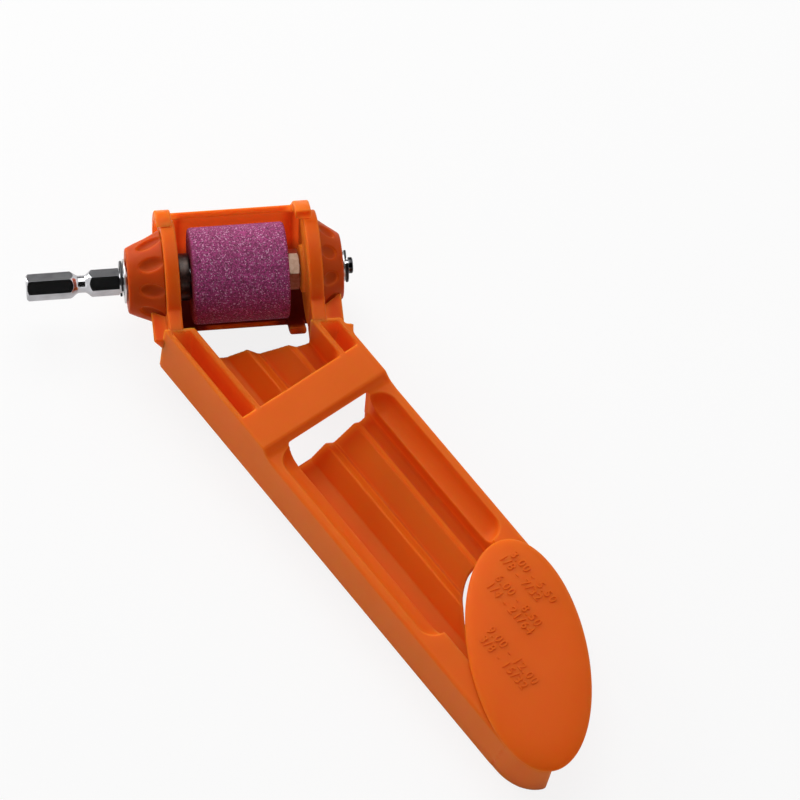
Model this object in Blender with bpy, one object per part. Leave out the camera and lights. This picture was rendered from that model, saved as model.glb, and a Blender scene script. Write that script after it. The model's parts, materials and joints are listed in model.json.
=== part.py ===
"""Hand-held drill bit sharpener for use in a power drill's chuck.

A moulded trough guides the bit, at half its point angle, to a small grinding wheel. The wheel sits on a
spindle with a hexagon shank, which turns in two ball bearings inside fluted end caps.

Handle frame: X across, Y from the tail to the head, Z up. Height 0 is the top of the upper side walls and
Y = 0 is the head-side edge of the bridge.
Head frame: X along the spindle toward the far end, Y away from the handle, Z up, with the origin where the
spindle's axis crosses the handle's middle plane.
"""

import math

import bmesh
import bpy
from mathutils import Matrix

MM = 0.001

# Gap between pieces that touch or seat on each other
FIT = 0.3 * MM

# Trough handle
HALF_WIDTH = 20.3 * MM
DEPTH = 19.5 * MM
DRAFT = 0.9 * MM
WALL = 1.3 * MM
RIB = 1.5 * MM
CHANNEL_HALF = 13.2 * MM
POCKET_FLOOR = 2.0 * MM
LOWER_STEP = 2.4 * MM

# Bridge across the trough and the window below it
BRIDGE_LENGTH = 10.8 * MM
BRIDGE_THICKNESS = 2.2 * MM
BRIDGE_SLANT = 1.9 * MM
WINDOW_LAP = 0.4 * MM

# Floor with three grooves, from the wide one on the left to the narrow one on the right
FLOOR = 1.8 * MM
FLOOR_WEB = 0.2 * MM
WIDE_FLAT = 7.4 * MM
WIDE_RUN = 4.9 * MM
WIDE_RISE = 3.5 * MM
MIDDLE_DROP_RUN = 2.8 * MM
MIDDLE_DROP = 2.8 * MM
MIDDLE_RUN = 6.7 * MM
MIDDLE_RISE = 3.7 * MM
NARROW_DROP_RUN = 1.8 * MM
NARROW_DROP = 1.4 * MM
NARROW_RISE = 1.6 * MM

# Finger scoops in the lower walls and hollows under them
SCOOP_RADIUS = 4.8 * MM
SCOOP_START = 0.8 * MM
RIGHT_SCOOP_LENGTH = 53.0 * MM
LEFT_SCOOP_LENGTH = 67.0 * MM
SCOOP_ROOF = 2.0 * MM
HOLLOW_START = 2.5 * MM
RIGHT_HOLLOW_LENGTH = 50.0 * MM
LEFT_HOLLOW_LENGTH = 72.0 * MM

# Oval thumb plate at the tail
PLATE_LONG = 33.9 * MM
PLATE_SHORT = 15.6 * MM
PLATE_TURN = math.radians(27.3)
PLATE_FROM_BRIDGE = 99.0 * MM
PLATE_THICKNESS = 2.8 * MM
PLATE_CROWN = 1.0 * MM
PLATE_LAP = 0.3 * MM
PLATE_UNDERCUT = 1.4 * MM
TAIL_LEAN = 4.0 * MM
TAIL_WALL = 2.2 * MM
HOLE_HEADROOM = 4.0 * MM

# Grinding wheel and its place on the handle
POINT_HALF_ANGLE = math.radians(59)
AXIS_CROSSING = 44.2 * MM
AXIS_DROP = 7.2 * MM
WHEEL_RADIUS = 13.0 * MM
WHEEL_EDGE = 0.8 * MM
COLLAR_RADIUS = 6.35 * MM
COLLAR_THICKNESS = 2.9 * MM
COLLAR_CLEAR = 0.5 * MM
NUT_ACROSS_FLATS = 10.0 * MM
NUT_THICKNESS = 3.1 * MM
NUT_CLEAR = 1.5 * MM
NUT_TURN = math.radians(102)

# Flange discs and arms that carry the wheel
FLANGE_LIP = 2.6 * MM
FLANGE_THICKNESS = 3.8 * MM
FAR_ARM_INSET = 0.6 * MM
ARM_LAP = 0.8 * MM
ARM_FOOT = 2.5 * MM
ARM_INSET = 0.1 * MM
HEAD_CLEAR = 1.3 * MM
GUSSET_DROP = 5.0 * MM
GUSSET_TAPER = 0.55
GUSSET_INNER = 4.0 * MM
DRIVE_GUSSET_REACH = 4.2 * MM
FAR_GUSSET_REACH = 5.2 * MM
FLARE_REACH = 1.7 * MM
FLARE_LENGTH = 6.5 * MM
FLARE_DEPTH = 12.0 * MM

# Snap-on wheel guard: angles about the spindle, from the handle side over the top
GUARD_SHELL = 1.8 * MM
GUARD_RIM = 2.4 * MM
GUARD_EDGE_INSET = 0.1 * MM
STRAP_WIDTH = 4.2 * MM
DRIVE_STRAP_OVERHANG = 1.1 * MM
FAR_STRAP_SETBACK = 1.6 * MM
STRAP_START = math.radians(118)
SHELL_START = math.radians(161)
SHELL_END = math.radians(298.5)
STRAP_END = math.radians(296)
TAB_START = math.radians(290)
TAB_END = math.radians(324)
TAB_WIDTH = 4.6 * MM

# Fluted end caps
CAP_RADIUS = 13.0 * MM
CAP_NOSE_RADIUS = 8.7 * MM
CAP_NOSE_WALL = 1.1 * MM
CAP_NOSE_BORE = 5.2 * MM
DRIVE_CAP_LENGTH = 9.3 * MM
FAR_CAP_LENGTH = 5.8 * MM
FLUTES = 10
FLUTE_TURN = math.radians(27.5)
FLUTE_RADIUS = 1.9 * MM
FLUTE_DEPTH = 2.4 * MM
SPIGOT_WALL = 1.0 * MM

# Ball bearings: bore radius, outer radius and width
DRIVE_BEARING_BORE = 4.0 * MM
DRIVE_BEARING_RADIUS = 8.0 * MM
DRIVE_BEARING_WIDTH = 5.0 * MM
DRIVE_BALL_RADIUS = 1.0 * MM
DRIVE_BALLS = 8
FAR_BEARING_BORE = 2.5 * MM
FAR_BEARING_RADIUS = 6.5 * MM
FAR_BEARING_WIDTH = 4.0 * MM
FAR_BALL_RADIUS = 0.9 * MM
FAR_BALLS = 7
CAGE_THICKNESS = 0.5 * MM
CAGE_RIM = 0.5 * MM

# Spindle with a hexagon shank
HEX_ACROSS_FLATS = 6.35 * MM
HEX_TURN = math.radians(124)
SHANK_LENGTH = 24.9 * MM
SHANK_CHAMFER = 0.6 * MM
GROOVE_FROM_TIP = 11.7 * MM
GROOVE_RUN_IN = 2.4 * MM
GROOVE_FLAT = 1.6 * MM
GROOVE_RUN_OUT = 1.5 * MM
GROOVE_RADIUS = 2.33 * MM
ARBOR_RADIUS = 3.0 * MM
FAR_TIP = 1.4 * MM

# E-clips and washers
WASHER_THICKNESS = 0.5 * MM
DRIVE_WASHER_RADIUS = 6.0 * MM
FAR_WASHER_RADIUS = 4.2 * MM
CLIP_THICKNESS = 0.6 * MM
CLIP_SEAT_DEPTH = 0.6 * MM
DRIVE_CLIP_RADIUS = 5.5 * MM
FAR_CLIP_RADIUS = 4.5 * MM
CLIP_MOUTH = math.radians(100)
CLIP_RELIEF = 0.5 * MM
DRIVE_CLIP_TURN = math.radians(200)
FAR_CLIP_TURN = math.radians(60)

# Fineness of round shapes
ROUND_STEPS = 48
SMALL_STEPS = 24
HOLE_STEPS = 10
GROOVE_STEPS = 8
ARC_STEP = math.radians(6)
TAIL_STEPS = 24
BEYOND = 5.0 * MM

# Places worked out from the sizes above
TURN = math.pi / 2 - POINT_HALF_ANGLE
PLATE_Y = -PLATE_FROM_BRIDGE
BRIDGE_FRONT = -BRIDGE_LENGTH - BRIDGE_SLANT
POCKET_INNER = CHANNEL_HALF + RIB
POCKET_OUTER = HALF_WIDTH - WALL
FLANGE_RADIUS = WHEEL_RADIUS + FLANGE_LIP
GUARD_INNER = FLANGE_RADIUS + FIT
GUARD_OUTER = GUARD_INNER + GUARD_RIM
END_SETBACK = GUARD_OUTER + HEAD_CLEAR


def along_spindle(x):
    """Place along the spindle that lies square in front of the handle's head end at x."""
    return (x + END_SETBACK * math.sin(TURN)) / math.cos(TURN)


DRIVE_FLANGE_OUTER = along_spindle(-POCKET_OUTER)
DRIVE_FLANGE_INNER = DRIVE_FLANGE_OUTER + FLANGE_THICKNESS
FAR_FLANGE_INNER = along_spindle(CHANNEL_HALF + FAR_ARM_INSET)
FAR_FLANGE_OUTER = FAR_FLANGE_INNER + FLANGE_THICKNESS
DRIVE_CAP_BASE = DRIVE_FLANGE_OUTER - FIT
DRIVE_CAP_NOSE = DRIVE_CAP_BASE - DRIVE_CAP_LENGTH
FAR_CAP_BASE = FAR_FLANGE_OUTER + FIT
FAR_CAP_NOSE = FAR_CAP_BASE + FAR_CAP_LENGTH
DRIVE_BEARING_OUTER_FACE = DRIVE_CAP_NOSE + CAP_NOSE_WALL + FIT
DRIVE_BEARING_INNER_FACE = DRIVE_BEARING_OUTER_FACE + DRIVE_BEARING_WIDTH
FAR_BEARING_OUTER_FACE = FAR_CAP_NOSE - CAP_NOSE_WALL - FIT
FAR_BEARING_INNER_FACE = FAR_BEARING_OUTER_FACE - FAR_BEARING_WIDTH
DRIVE_JOURNAL = DRIVE_BEARING_BORE - FIT
FAR_JOURNAL = FAR_BEARING_BORE - FIT
DRIVE_WASHER_INNER_FACE = DRIVE_CAP_NOSE - FIT
DRIVE_CLIP_INNER_FACE = DRIVE_WASHER_INNER_FACE - WASHER_THICKNESS - FIT
DRIVE_CLIP_OUTER_FACE = DRIVE_CLIP_INNER_FACE - CLIP_THICKNESS
FAR_WASHER_INNER_FACE = FAR_CAP_NOSE + FIT
FAR_CLIP_INNER_FACE = FAR_WASHER_INNER_FACE + WASHER_THICKNESS + FIT
FAR_CLIP_OUTER_FACE = FAR_CLIP_INNER_FACE + CLIP_THICKNESS
SHANK_END = DRIVE_CLIP_OUTER_FACE - FIT
SHANK_TIP = SHANK_END - SHANK_LENGTH
COLLAR_START = DRIVE_FLANGE_INNER + COLLAR_CLEAR
WHEEL_START = COLLAR_START + COLLAR_THICKNESS + FIT
NUT_END = FAR_FLANGE_INNER - NUT_CLEAR
NUT_START = NUT_END - NUT_THICKNESS
WHEEL_END = NUT_START - FIT

# The head frame in the handle frame, and planes that outlines are drawn on
HEAD = Matrix.Translation((0, AXIS_CROSSING, -AXIS_DROP)) @ Matrix.Rotation(-TURN, 4, "Z")
PLAN = Matrix.Identity(4)
ALONG_Y = Matrix(((1, 0, 0, 0), (0, 0, 1, 0), (0, 1, 0, 0), (0, 0, 0, 1)))
ALONG_X = Matrix(((0, 0, 1, 0), (1, 0, 0, 0), (0, 1, 0, 0), (0, 0, 0, 1)))


def add_object(name, shape):
    """Turn a finished bmesh into a named object with its faces pointing out."""
    bmesh.ops.remove_doubles(shape, verts=shape.verts, dist=1e-7)
    bmesh.ops.recalc_face_normals(shape, faces=shape.faces)
    mesh = bpy.data.meshes.new(name)
    shape.to_mesh(mesh)
    shape.free()
    made = bpy.data.objects.new(name, mesh)
    bpy.context.collection.objects.link(made)
    return made


def prism(name, outline, low, high, place=PLAN):
    """Closed prism over an outline, from low to high along its normal, set in place by a matrix."""
    shape = bmesh.new()
    base = shape.faces.new([shape.verts.new((u, v, low)) for u, v in outline])
    raised = bmesh.ops.extrude_face_region(shape, geom=[base])["geom"]
    top = [item for item in raised if isinstance(item, bmesh.types.BMVert)]
    bmesh.ops.translate(shape, verts=top, vec=(0, 0, high - low))
    bmesh.ops.transform(shape, verts=shape.verts, matrix=place)
    return add_object(name, shape)


def loft(name, loops):
    """Closed body through loops of equally many points, capped at both ends."""
    shape = bmesh.new()
    rings = [[shape.verts.new(point) for point in loop] for loop in loops]
    for lower, upper in zip(rings, rings[1:]):
        for index in range(len(lower)):
            after = (index + 1) % len(lower)
            shape.faces.new((lower[index], lower[after], upper[after], upper[index]))
    shape.faces.new(rings[0])
    shape.faces.new(rings[-1])
    return add_object(name, shape)


def turned(name, profile, steps=ROUND_STEPS, place=PLAN):
    """Body turned about X from (along, radius) points; one that ends on the axis is left open there."""
    shape = bmesh.new()
    points = [shape.verts.new((along, 0, radius)) for along, radius in profile]
    edges = [shape.edges.new(pair) for pair in zip(points, points[1:])]
    if profile[0][1] > 0:
        edges.append(shape.edges.new((points[-1], points[0])))
    bmesh.ops.spin(shape, geom=points + edges, cent=(0, 0, 0), axis=(1, 0, 0), angle=math.tau,
                   steps=steps, use_merge=True)
    bmesh.ops.transform(shape, verts=shape.verts, matrix=place)
    return add_object(name, shape)


def rod(name, radius, start, end, steps=ROUND_STEPS, place=PLAN):
    """Plain cylinder along X."""
    return turned(name, [(start, 0), (start, radius), (end, radius), (end, 0)], steps, place)


def ring(name, inner, outer, start, end, steps=ROUND_STEPS, place=PLAN):
    """Plain tube along X."""
    return turned(name, [(start, inner), (start, outer), (end, outer), (end, inner)], steps, place)


def combine(target, operation, *tools):
    """Keep the result of one Boolean with all the tools in target, and drop the tools."""
    group = bpy.data.collections.new("tools")
    for tool in tools:
        group.objects.link(tool)
    boolean = target.modifiers.new(operation, "BOOLEAN")
    boolean.operation = operation
    boolean.solver = "EXACT"
    boolean.operand_type = "COLLECTION"
    boolean.collection = group
    bpy.context.view_layer.update()
    evaluated = target.evaluated_get(bpy.context.evaluated_depsgraph_get())
    shape = bmesh.new()
    shape.from_mesh(evaluated.to_mesh())
    bmesh.ops.triangulate(shape, faces=shape.faces)
    target.modifiers.clear()
    shape.to_mesh(target.data)
    shape.free()
    bpy.data.collections.remove(group)
    for tool in tools:
        bpy.data.objects.remove(tool)


def cut(target, *tools):
    """Take the tools away from target."""
    combine(target, "DIFFERENCE", *tools)


def join(target, *tools):
    """Fuse the tools into target."""
    combine(target, "UNION", *tools)


def arc(radius, start, end):
    """Points on a circle from one angle to another, ends included."""
    steps = max(2, math.ceil(abs(end - start) / ARC_STEP))
    angles = [start + (end - start) * step / steps for step in range(steps + 1)]
    return [(radius * math.cos(angle), radius * math.sin(angle)) for angle in angles]


def sector(inner, outer, start, end):
    """Outline of a ring's stretch between two angles that run from the handle side over the top."""
    outline = arc(outer, math.pi - start, math.pi - end) + arc(inner, math.pi - end, math.pi - start)
    return outline


def hexagon(across_flats, turn):
    """Six corners with one flat facing the angle turn."""
    radius = across_flats / math.sqrt(3)
    angles = [turn + math.radians(30 + 60 * corner) for corner in range(6)]
    return [(radius * math.cos(angle), radius * math.sin(angle)) for angle in angles]


def head_end(x, inset=0):
    """Place along the handle of its slanted head end at x, moved toward the tail by inset."""
    return AXIS_CROSSING - x * math.tan(TURN) - (END_SETBACK + inset) / math.cos(TURN)


def floor_profile():
    """The three grooves across the trough as (x, height) points."""
    x = -CHANNEL_HALF
    height = FLOOR + FLOOR_WEB - DEPTH
    points = [(x, height)]
    moves = ((WIDE_FLAT, 0), (WIDE_RUN, WIDE_RISE), (MIDDLE_DROP_RUN, -MIDDLE_DROP),
             (MIDDLE_RUN, MIDDLE_RISE), (NARROW_DROP_RUN, -NARROW_DROP))
    for run, rise in moves:
        x += run
        height += rise
        points.append((x, height))
    return points + [(CHANNEL_HALF, height + NARROW_RISE)]


def oval(angle, long, short):
    """Point of an oval that is turned like the thumb plate."""
    along = long * math.cos(angle)
    across = short * math.sin(angle)
    x = along * math.sin(PLATE_TURN) + across * math.cos(PLATE_TURN)
    y = along * math.cos(PLATE_TURN) - across * math.sin(PLATE_TURN)
    return x, PLATE_Y + y


def oval_angles():
    """Angles of the points round an oval."""
    return [math.tau * step / (2 * TAIL_STEPS) for step in range(2 * TAIL_STEPS)]


def oval_loop(inset=0):
    """The plate's outline, moved in by inset."""
    return [oval(angle, PLATE_LONG - inset, PLATE_SHORT - inset) for angle in oval_angles()]


def handle_outline(half_width, lean):
    """Plan of the handle: straight sides, a tail that follows the plate and a slanted head end."""
    long = PLATE_LONG - lean
    side = math.atan2(PLATE_SHORT * math.cos(PLATE_TURN), long * math.sin(PLATE_TURN))
    angles = [side + math.pi * (1 - step / TAIL_STEPS) for step in range(TAIL_STEPS + 1)]
    tail = [oval(angle, long, PLATE_SHORT) for angle in angles]
    spread = half_width / tail[-1][0]
    sides = [(half_width, head_end(half_width)), (-half_width, head_end(-half_width))]
    return [(x * spread, y) for x, y in tail] + sides


def handle_block():
    """The handle's outer shape, a little wider at the bottom and drawn in at the tail."""
    top = [(x, y, 0) for x, y in handle_outline(HALF_WIDTH, 0)]
    bottom = [(x, y, -DEPTH) for x, y in handle_outline(HALF_WIDTH + DRAFT, TAIL_LEAN)]
    return loft("handle_body", [bottom, top])


def lower_step():
    """Space above the lower walls, with the bridge's slanted front face."""
    slope = BRIDGE_SLANT / LOWER_STEP
    tail = PLATE_Y - PLATE_LONG - BEYOND
    outline = [(-BRIDGE_LENGTH + slope * BEYOND, BEYOND), (-BRIDGE_LENGTH - BRIDGE_SLANT, -LOWER_STEP),
               (tail, -LOWER_STEP), (tail, BEYOND)]
    reach = HALF_WIDTH + DRAFT + BEYOND
    return prism("lower_step", outline, -reach, reach, ALONG_X)


def channel(start, end):
    """Space above the grooved floor between two places along the handle."""
    outline = floor_profile() + [(CHANNEL_HALF, BEYOND), (-CHANNEL_HALF, BEYOND)]
    return prism("channel", outline, start, end, ALONG_Y)


def floor_relief():
    """Space under the grooved floor, so that the floor keeps an even thickness."""
    ridges = [(x, height - FLOOR) for x, height in floor_profile()[1:]]
    outline = ridges + [(CHANNEL_HALF, -DEPTH - BEYOND), (ridges[0][0], -DEPTH - BEYOND)]
    return prism("floor_relief", outline, PLATE_Y, head_end(-CHANNEL_HALF) + BEYOND, ALONG_Y)


def window():
    """Opening under the bridge, right through to the underside."""
    start = BRIDGE_FRONT - WINDOW_LAP
    outline = [(-POCKET_OUTER, start), (POCKET_OUTER, start),
               (POCKET_OUTER, WINDOW_LAP), (-POCKET_OUTER, WINDOW_LAP)]
    return prism("window", outline, -DEPTH - BEYOND, -BRIDGE_THICKNESS)


def pocket(side):
    """Blind pocket between a side wall and its rib, ahead of the bridge."""
    inner = side * POCKET_INNER
    outer = side * POCKET_OUTER
    outline = [(inner, 0), (outer, 0), (outer, head_end(outer, WALL)), (inner, head_end(inner, WALL))]
    return prism("pocket", outline, POCKET_FLOOR - DEPTH, BEYOND)


def plate_holes():
    """Openings below the thumb plate, leaning like the tail, and just ahead of the plate."""
    leaning = []
    for height in (-DEPTH - BEYOND, BEYOND):
        inset = TAIL_LEAN * -height / DEPTH
        long = PLATE_LONG - TAIL_WALL - inset
        loop = [oval(angle, long, PLATE_SHORT - TAIL_WALL) for angle in oval_angles()]
        leaning.append([(x, y, height) for x, y in loop])
    outline = oval_loop(TAIL_WALL)
    narrow = (CHANNEL_HALF - FIT) / max(x for x, y in outline)
    ahead = [(x * narrow, y + HOLE_HEADROOM) for x, y in outline]
    return loft("below_plate", leaning), prism("ahead_of_plate", ahead, -DEPTH - BEYOND, BEYOND)


def scoop(side, length):
    """Round-ended finger scoop along the inner top edge of a lower wall."""
    shape = bmesh.new()
    bmesh.ops.create_uvsphere(shape, u_segments=SMALL_STEPS, v_segments=SMALL_STEPS // 2 + 1,
                              radius=SCOOP_RADIUS)
    bmesh.ops.rotate(shape, verts=shape.verts, matrix=Matrix.Rotation(math.pi / 2, 3, "X"))
    tail_half = [vert for vert in shape.verts if vert.co.y < 0]
    bmesh.ops.translate(shape, verts=tail_half, vec=(0, 2 * SCOOP_RADIUS - length, 0))
    head_centre = BRIDGE_FRONT - SCOOP_START - SCOOP_RADIUS
    bmesh.ops.translate(shape, verts=shape.verts, vec=(side * CHANNEL_HALF, head_centre, -LOWER_STEP))
    return add_object("scoop", shape)


def hollow(side, length):
    """Hollow in a lower side wall, open underneath."""
    start = BRIDGE_FRONT - HOLLOW_START
    inner = side * POCKET_INNER
    outer = side * POCKET_OUTER
    outline = [(inner, start), (outer, start), (outer, start - length), (inner, start - length)]
    return prism("hollow", outline, -DEPTH - BEYOND, -LOWER_STEP - SCOOP_RADIUS - SCOOP_ROOF)


def thumb_plate():
    """Slightly domed oval plate with a rounded rim."""
    low = -LOWER_STEP - PLATE_LAP
    rim = PLATE_THICKNESS / 4
    levels = ((PLATE_UNDERCUT, low), (0, low + rim), (0, low + 2 * rim), (rim / 2, low + 3 * rim),
              (2 * rim, low + PLATE_THICKNESS))
    loops = [[(x, y, height) for x, y in oval_loop(inset)] for inset, height in levels]
    crown = low + PLATE_THICKNESS + PLATE_CROWN
    loops.append([(x, y, crown) for x, y in oval_loop(PLATE_SHORT / 2)])
    return loft("thumb_plate", loops)


def flange(outer_face, inner_face, bearing_face, bearing_radius):
    """Flange disc with a spindle hole and a spigot that centres the end cap and holds the bearing's ring."""
    spigot_end = bearing_face - math.copysign(FIT, outer_face - inner_face)
    hole = bearing_radius - SPIGOT_WALL
    profile = [(inner_face, hole), (inner_face, FLANGE_RADIUS), (outer_face, FLANGE_RADIUS),
               (outer_face, bearing_radius), (spigot_end, bearing_radius), (spigot_end, hole)]
    return turned("flange", profile, place=HEAD)


def arm(start, end):
    """Arm that joins a flange disc to the handle's head end, level with the top of the walls."""
    root = -END_SETBACK - ARM_LAP
    tip = -FLANGE_RADIUS + FLANGE_LIP
    foot = AXIS_DROP - DEPTH + ARM_FOOT
    outline = [(root, AXIS_DROP), (root, foot), (tip, foot), (tip, AXIS_DROP)]
    return prism("arm", outline, start + ARM_INSET, end - ARM_INSET, HEAD @ ALONG_X)


def gusset(side, base, reach):
    """Web that braces a flange's outer face against the end of the side wall and narrows downward."""
    root = -END_SETBACK - ARM_LAP
    inner = base - side * ARM_LAP
    top = AXIS_DROP - GUSSET_DROP
    low = top - reach / GUSSET_TAPER
    outline = [(inner, top), (base + side * reach, top), (base, low), (inner, low)]
    return prism("gusset", outline, root, -GUSSET_INNER, HEAD @ ALONG_Y)


def wall_flare():
    """Small flare on the right wall's outer face, next to its head end."""
    wall = HALF_WIDTH - WALL / 2
    end = head_end(HALF_WIDTH)
    outline = [(wall, end - FLARE_REACH), (HALF_WIDTH + FLARE_REACH, end - 2 * FLARE_REACH),
               (wall, end - FLARE_LENGTH)]
    return prism("wall_flare", outline, -FLARE_DEPTH, -FIT)


def cap_profile(base, nose, bore):
    """Section of an end cap: a cone with a nose wall and a bearing seat that is open at the base."""
    outward = math.copysign(1, nose - base)
    inner_nose = nose - outward * CAP_NOSE_WALL
    return [(base, CAP_RADIUS), (nose, CAP_NOSE_RADIUS), (nose, CAP_NOSE_BORE), (inner_nose, CAP_NOSE_BORE),
            (inner_nose, bore), (base, bore)]


def cap_space(base, start, nose):
    """Room for an end cap, with the fitting gap all round, from a start inside its flange."""
    past_nose = nose + (nose - base)
    nose_radius = 2 * CAP_NOSE_RADIUS - CAP_RADIUS + FIT
    profile = [(start, 0), (start, CAP_RADIUS + FIT), (base, CAP_RADIUS + FIT), (past_nose, nose_radius),
               (past_nose, 0)]
    return turned("cap_space", profile, place=HEAD)


def handle_body():
    """The one-piece moulding that everything else sits on."""
    body = handle_block()
    cut(body, lower_step(), channel(0, head_end(-CHANNEL_HALF) + BEYOND),
        channel(PLATE_Y, BRIDGE_FRONT - WINDOW_LAP / 2), floor_relief(), window(), pocket(-1), pocket(1),
        scoop(-1, LEFT_SCOOP_LENGTH), scoop(1, RIGHT_SCOOP_LENGTH), hollow(-1, LEFT_HOLLOW_LENGTH),
        hollow(1, RIGHT_HOLLOW_LENGTH), *plate_holes())
    drive_gusset = gusset(-1, DRIVE_FLANGE_OUTER, DRIVE_GUSSET_REACH)
    cut(drive_gusset, cap_space(DRIVE_CAP_BASE, DRIVE_FLANGE_OUTER + BEYOND, DRIVE_CAP_NOSE))
    far_gusset = gusset(1, FAR_FLANGE_OUTER, FAR_GUSSET_REACH)
    cut(far_gusset, cap_space(FAR_CAP_BASE, FAR_FLANGE_OUTER - BEYOND, FAR_CAP_NOSE))
    join(body, thumb_plate(), drive_gusset, far_gusset, wall_flare(),
         arm(DRIVE_FLANGE_OUTER, DRIVE_FLANGE_INNER), arm(FAR_FLANGE_INNER, FAR_FLANGE_OUTER),
         flange(DRIVE_FLANGE_OUTER, DRIVE_FLANGE_INNER, DRIVE_BEARING_INNER_FACE, DRIVE_BEARING_RADIUS),
         flange(FAR_FLANGE_OUTER, FAR_FLANGE_INNER, FAR_BEARING_INNER_FACE, FAR_BEARING_RADIUS))
    return body


def wheel_guard():
    """Curved guard that snaps over both flange rims and shields the wheel's front and underside."""
    start = DRIVE_FLANGE_OUTER - DRIVE_STRAP_OVERHANG
    end = FAR_FLANGE_OUTER - FAR_STRAP_SETBACK
    shell = sector(GUARD_INNER, GUARD_INNER + GUARD_SHELL, SHELL_START, SHELL_END)
    strap = sector(GUARD_INNER, GUARD_OUTER, STRAP_START, STRAP_END)
    tab = sector(GUARD_INNER, GUARD_INNER + GUARD_SHELL, TAB_START, TAB_END)
    guard = prism("wheel_guard", shell, start + GUARD_EDGE_INSET, end - GUARD_EDGE_INSET, ALONG_X)
    join(guard, prism("strap", strap, start, start + STRAP_WIDTH, ALONG_X),
         prism("strap", strap, end - STRAP_WIDTH, end, ALONG_X),
         prism("tab", tab, DRIVE_FLANGE_INNER + FIT, DRIVE_FLANGE_INNER + FIT + TAB_WIDTH, ALONG_X),
         prism("tab", tab, FAR_FLANGE_INNER - FIT - TAB_WIDTH, FAR_FLANGE_INNER - FIT, ALONG_X))
    return guard


def end_cap(name, base, nose, bore):
    """Fluted cone that houses a bearing."""
    cap = turned(name, cap_profile(base, nose, bore))
    distance = CAP_RADIUS - FLUTE_DEPTH + FLUTE_RADIUS
    ends = sorted((base - math.copysign(BEYOND, nose - base), nose))
    flutes = []
    for flute in range(FLUTES):
        turn = FLUTE_TURN + math.tau * flute / FLUTES
        place = Matrix.Rotation(turn, 4, "X") @ Matrix.Translation((0, distance, 0))
        flutes.append(rod("flute", FLUTE_RADIUS, *ends, steps=HOLE_STEPS, place=place))
    cut(cap, *flutes)
    return cap


def ball_bearing(side, bore, radius, width, start, ball_radius, balls):
    """Rings, cage and balls of a bearing whose width starts at start; returns the fixed ring, the turning
    ring and the pieces that roll between them."""
    pitch = (bore + radius) / 2
    middle = start + width / 2
    race = ball_radius + FIT
    cage_inner = pitch - CAGE_THICKNESS / 2
    cage_outer = pitch + CAGE_THICKNESS / 2
    cage_half = race + CAGE_RIM
    inner = ring(f"{side}_bearing_inner", bore, cage_inner - FIT, start, start + width, SMALL_STEPS)
    outer = ring(f"{side}_bearing_outer", cage_outer + FIT, radius, start, start + width, SMALL_STEPS)
    groove = [(middle + race * math.sin(angle), pitch + race * math.cos(angle))
              for angle in (math.tau * step / GROOVE_STEPS for step in range(GROOVE_STEPS))]
    cut(inner, turned("groove", groove, SMALL_STEPS))
    cut(outer, turned("groove", groove, SMALL_STEPS))
    cage = ring(f"{side}_bearing_cage", cage_inner, cage_outer, middle - cage_half, middle + cage_half,
                SMALL_STEPS)
    rolling = [cage]
    holes = []
    for index in range(balls):
        place = Matrix.Rotation(math.tau * index / balls, 4, "X") @ Matrix.Translation((middle, 0, pitch))
        hole = bmesh.new()
        bmesh.ops.create_cone(hole, cap_ends=True, segments=HOLE_STEPS, radius1=race, radius2=race,
                              depth=BEYOND)
        bmesh.ops.transform(hole, verts=hole.verts, matrix=place)
        holes.append(add_object("ball_hole", hole))
        sphere = bmesh.new()
        bmesh.ops.create_icosphere(sphere, subdivisions=1, radius=ball_radius)
        ball = add_object(f"{side}_bearing_ball_{index + 1}", sphere)
        ball.location = place.translation
        rolling.append(ball)
    cut(cage, *holes)
    return outer, inner, rolling


def shank():
    """Hexagon shank with a chamfered tip and the ball groove that a quick-change chuck holds."""
    bar = prism("spindle", hexagon(HEX_ACROSS_FLATS, HEX_TURN), SHANK_TIP, SHANK_END, ALONG_X)
    over_corners = HEX_ACROSS_FLATS / math.sqrt(3) + FIT
    groove = SHANK_TIP + GROOVE_FROM_TIP
    neck = groove + GROOVE_RUN_IN
    profile = [(SHANK_TIP - FIT, 0), (SHANK_TIP - FIT, over_corners - SHANK_CHAMFER - FIT),
               (SHANK_TIP + SHANK_CHAMFER, over_corners), (groove, over_corners), (neck, GROOVE_RADIUS),
               (neck + GROOVE_FLAT, GROOVE_RADIUS), (neck + GROOVE_FLAT + GROOVE_RUN_OUT, over_corners),
               (SHANK_END + FIT, over_corners), (SHANK_END + FIT, 0)]
    combine(bar, "INTERSECT", turned("shank_envelope", profile))
    return bar


def spindle():
    """Shank, drive journal, wheel arbor and far journal in one turned bar, with a seat for each E-clip."""
    bar = shank()
    shoulder = COLLAR_START - FIT
    far_step = NUT_END + FIT
    drive_seat = DRIVE_JOURNAL - CLIP_SEAT_DEPTH
    far_seat = FAR_JOURNAL - CLIP_SEAT_DEPTH
    drive_lip = DRIVE_CLIP_INNER_FACE + FIT
    far_lip = FAR_CLIP_INNER_FACE - FIT
    far_groove = FAR_CLIP_OUTER_FACE + FIT
    far_tip = FAR_CLIP_OUTER_FACE + FAR_TIP
    profile = [(SHANK_END - FIT, 0), (SHANK_END - FIT, drive_seat), (drive_lip, drive_seat),
               (drive_lip, DRIVE_JOURNAL), (shoulder, DRIVE_JOURNAL), (shoulder, ARBOR_RADIUS),
               (far_step, ARBOR_RADIUS), (far_step, FAR_JOURNAL), (far_lip, FAR_JOURNAL), (far_lip, far_seat),
               (far_groove, far_seat), (far_groove, FAR_JOURNAL), (far_tip, FAR_JOURNAL), (far_tip, 0)]
    join(bar, turned("journals", profile, SMALL_STEPS))
    return bar


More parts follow.
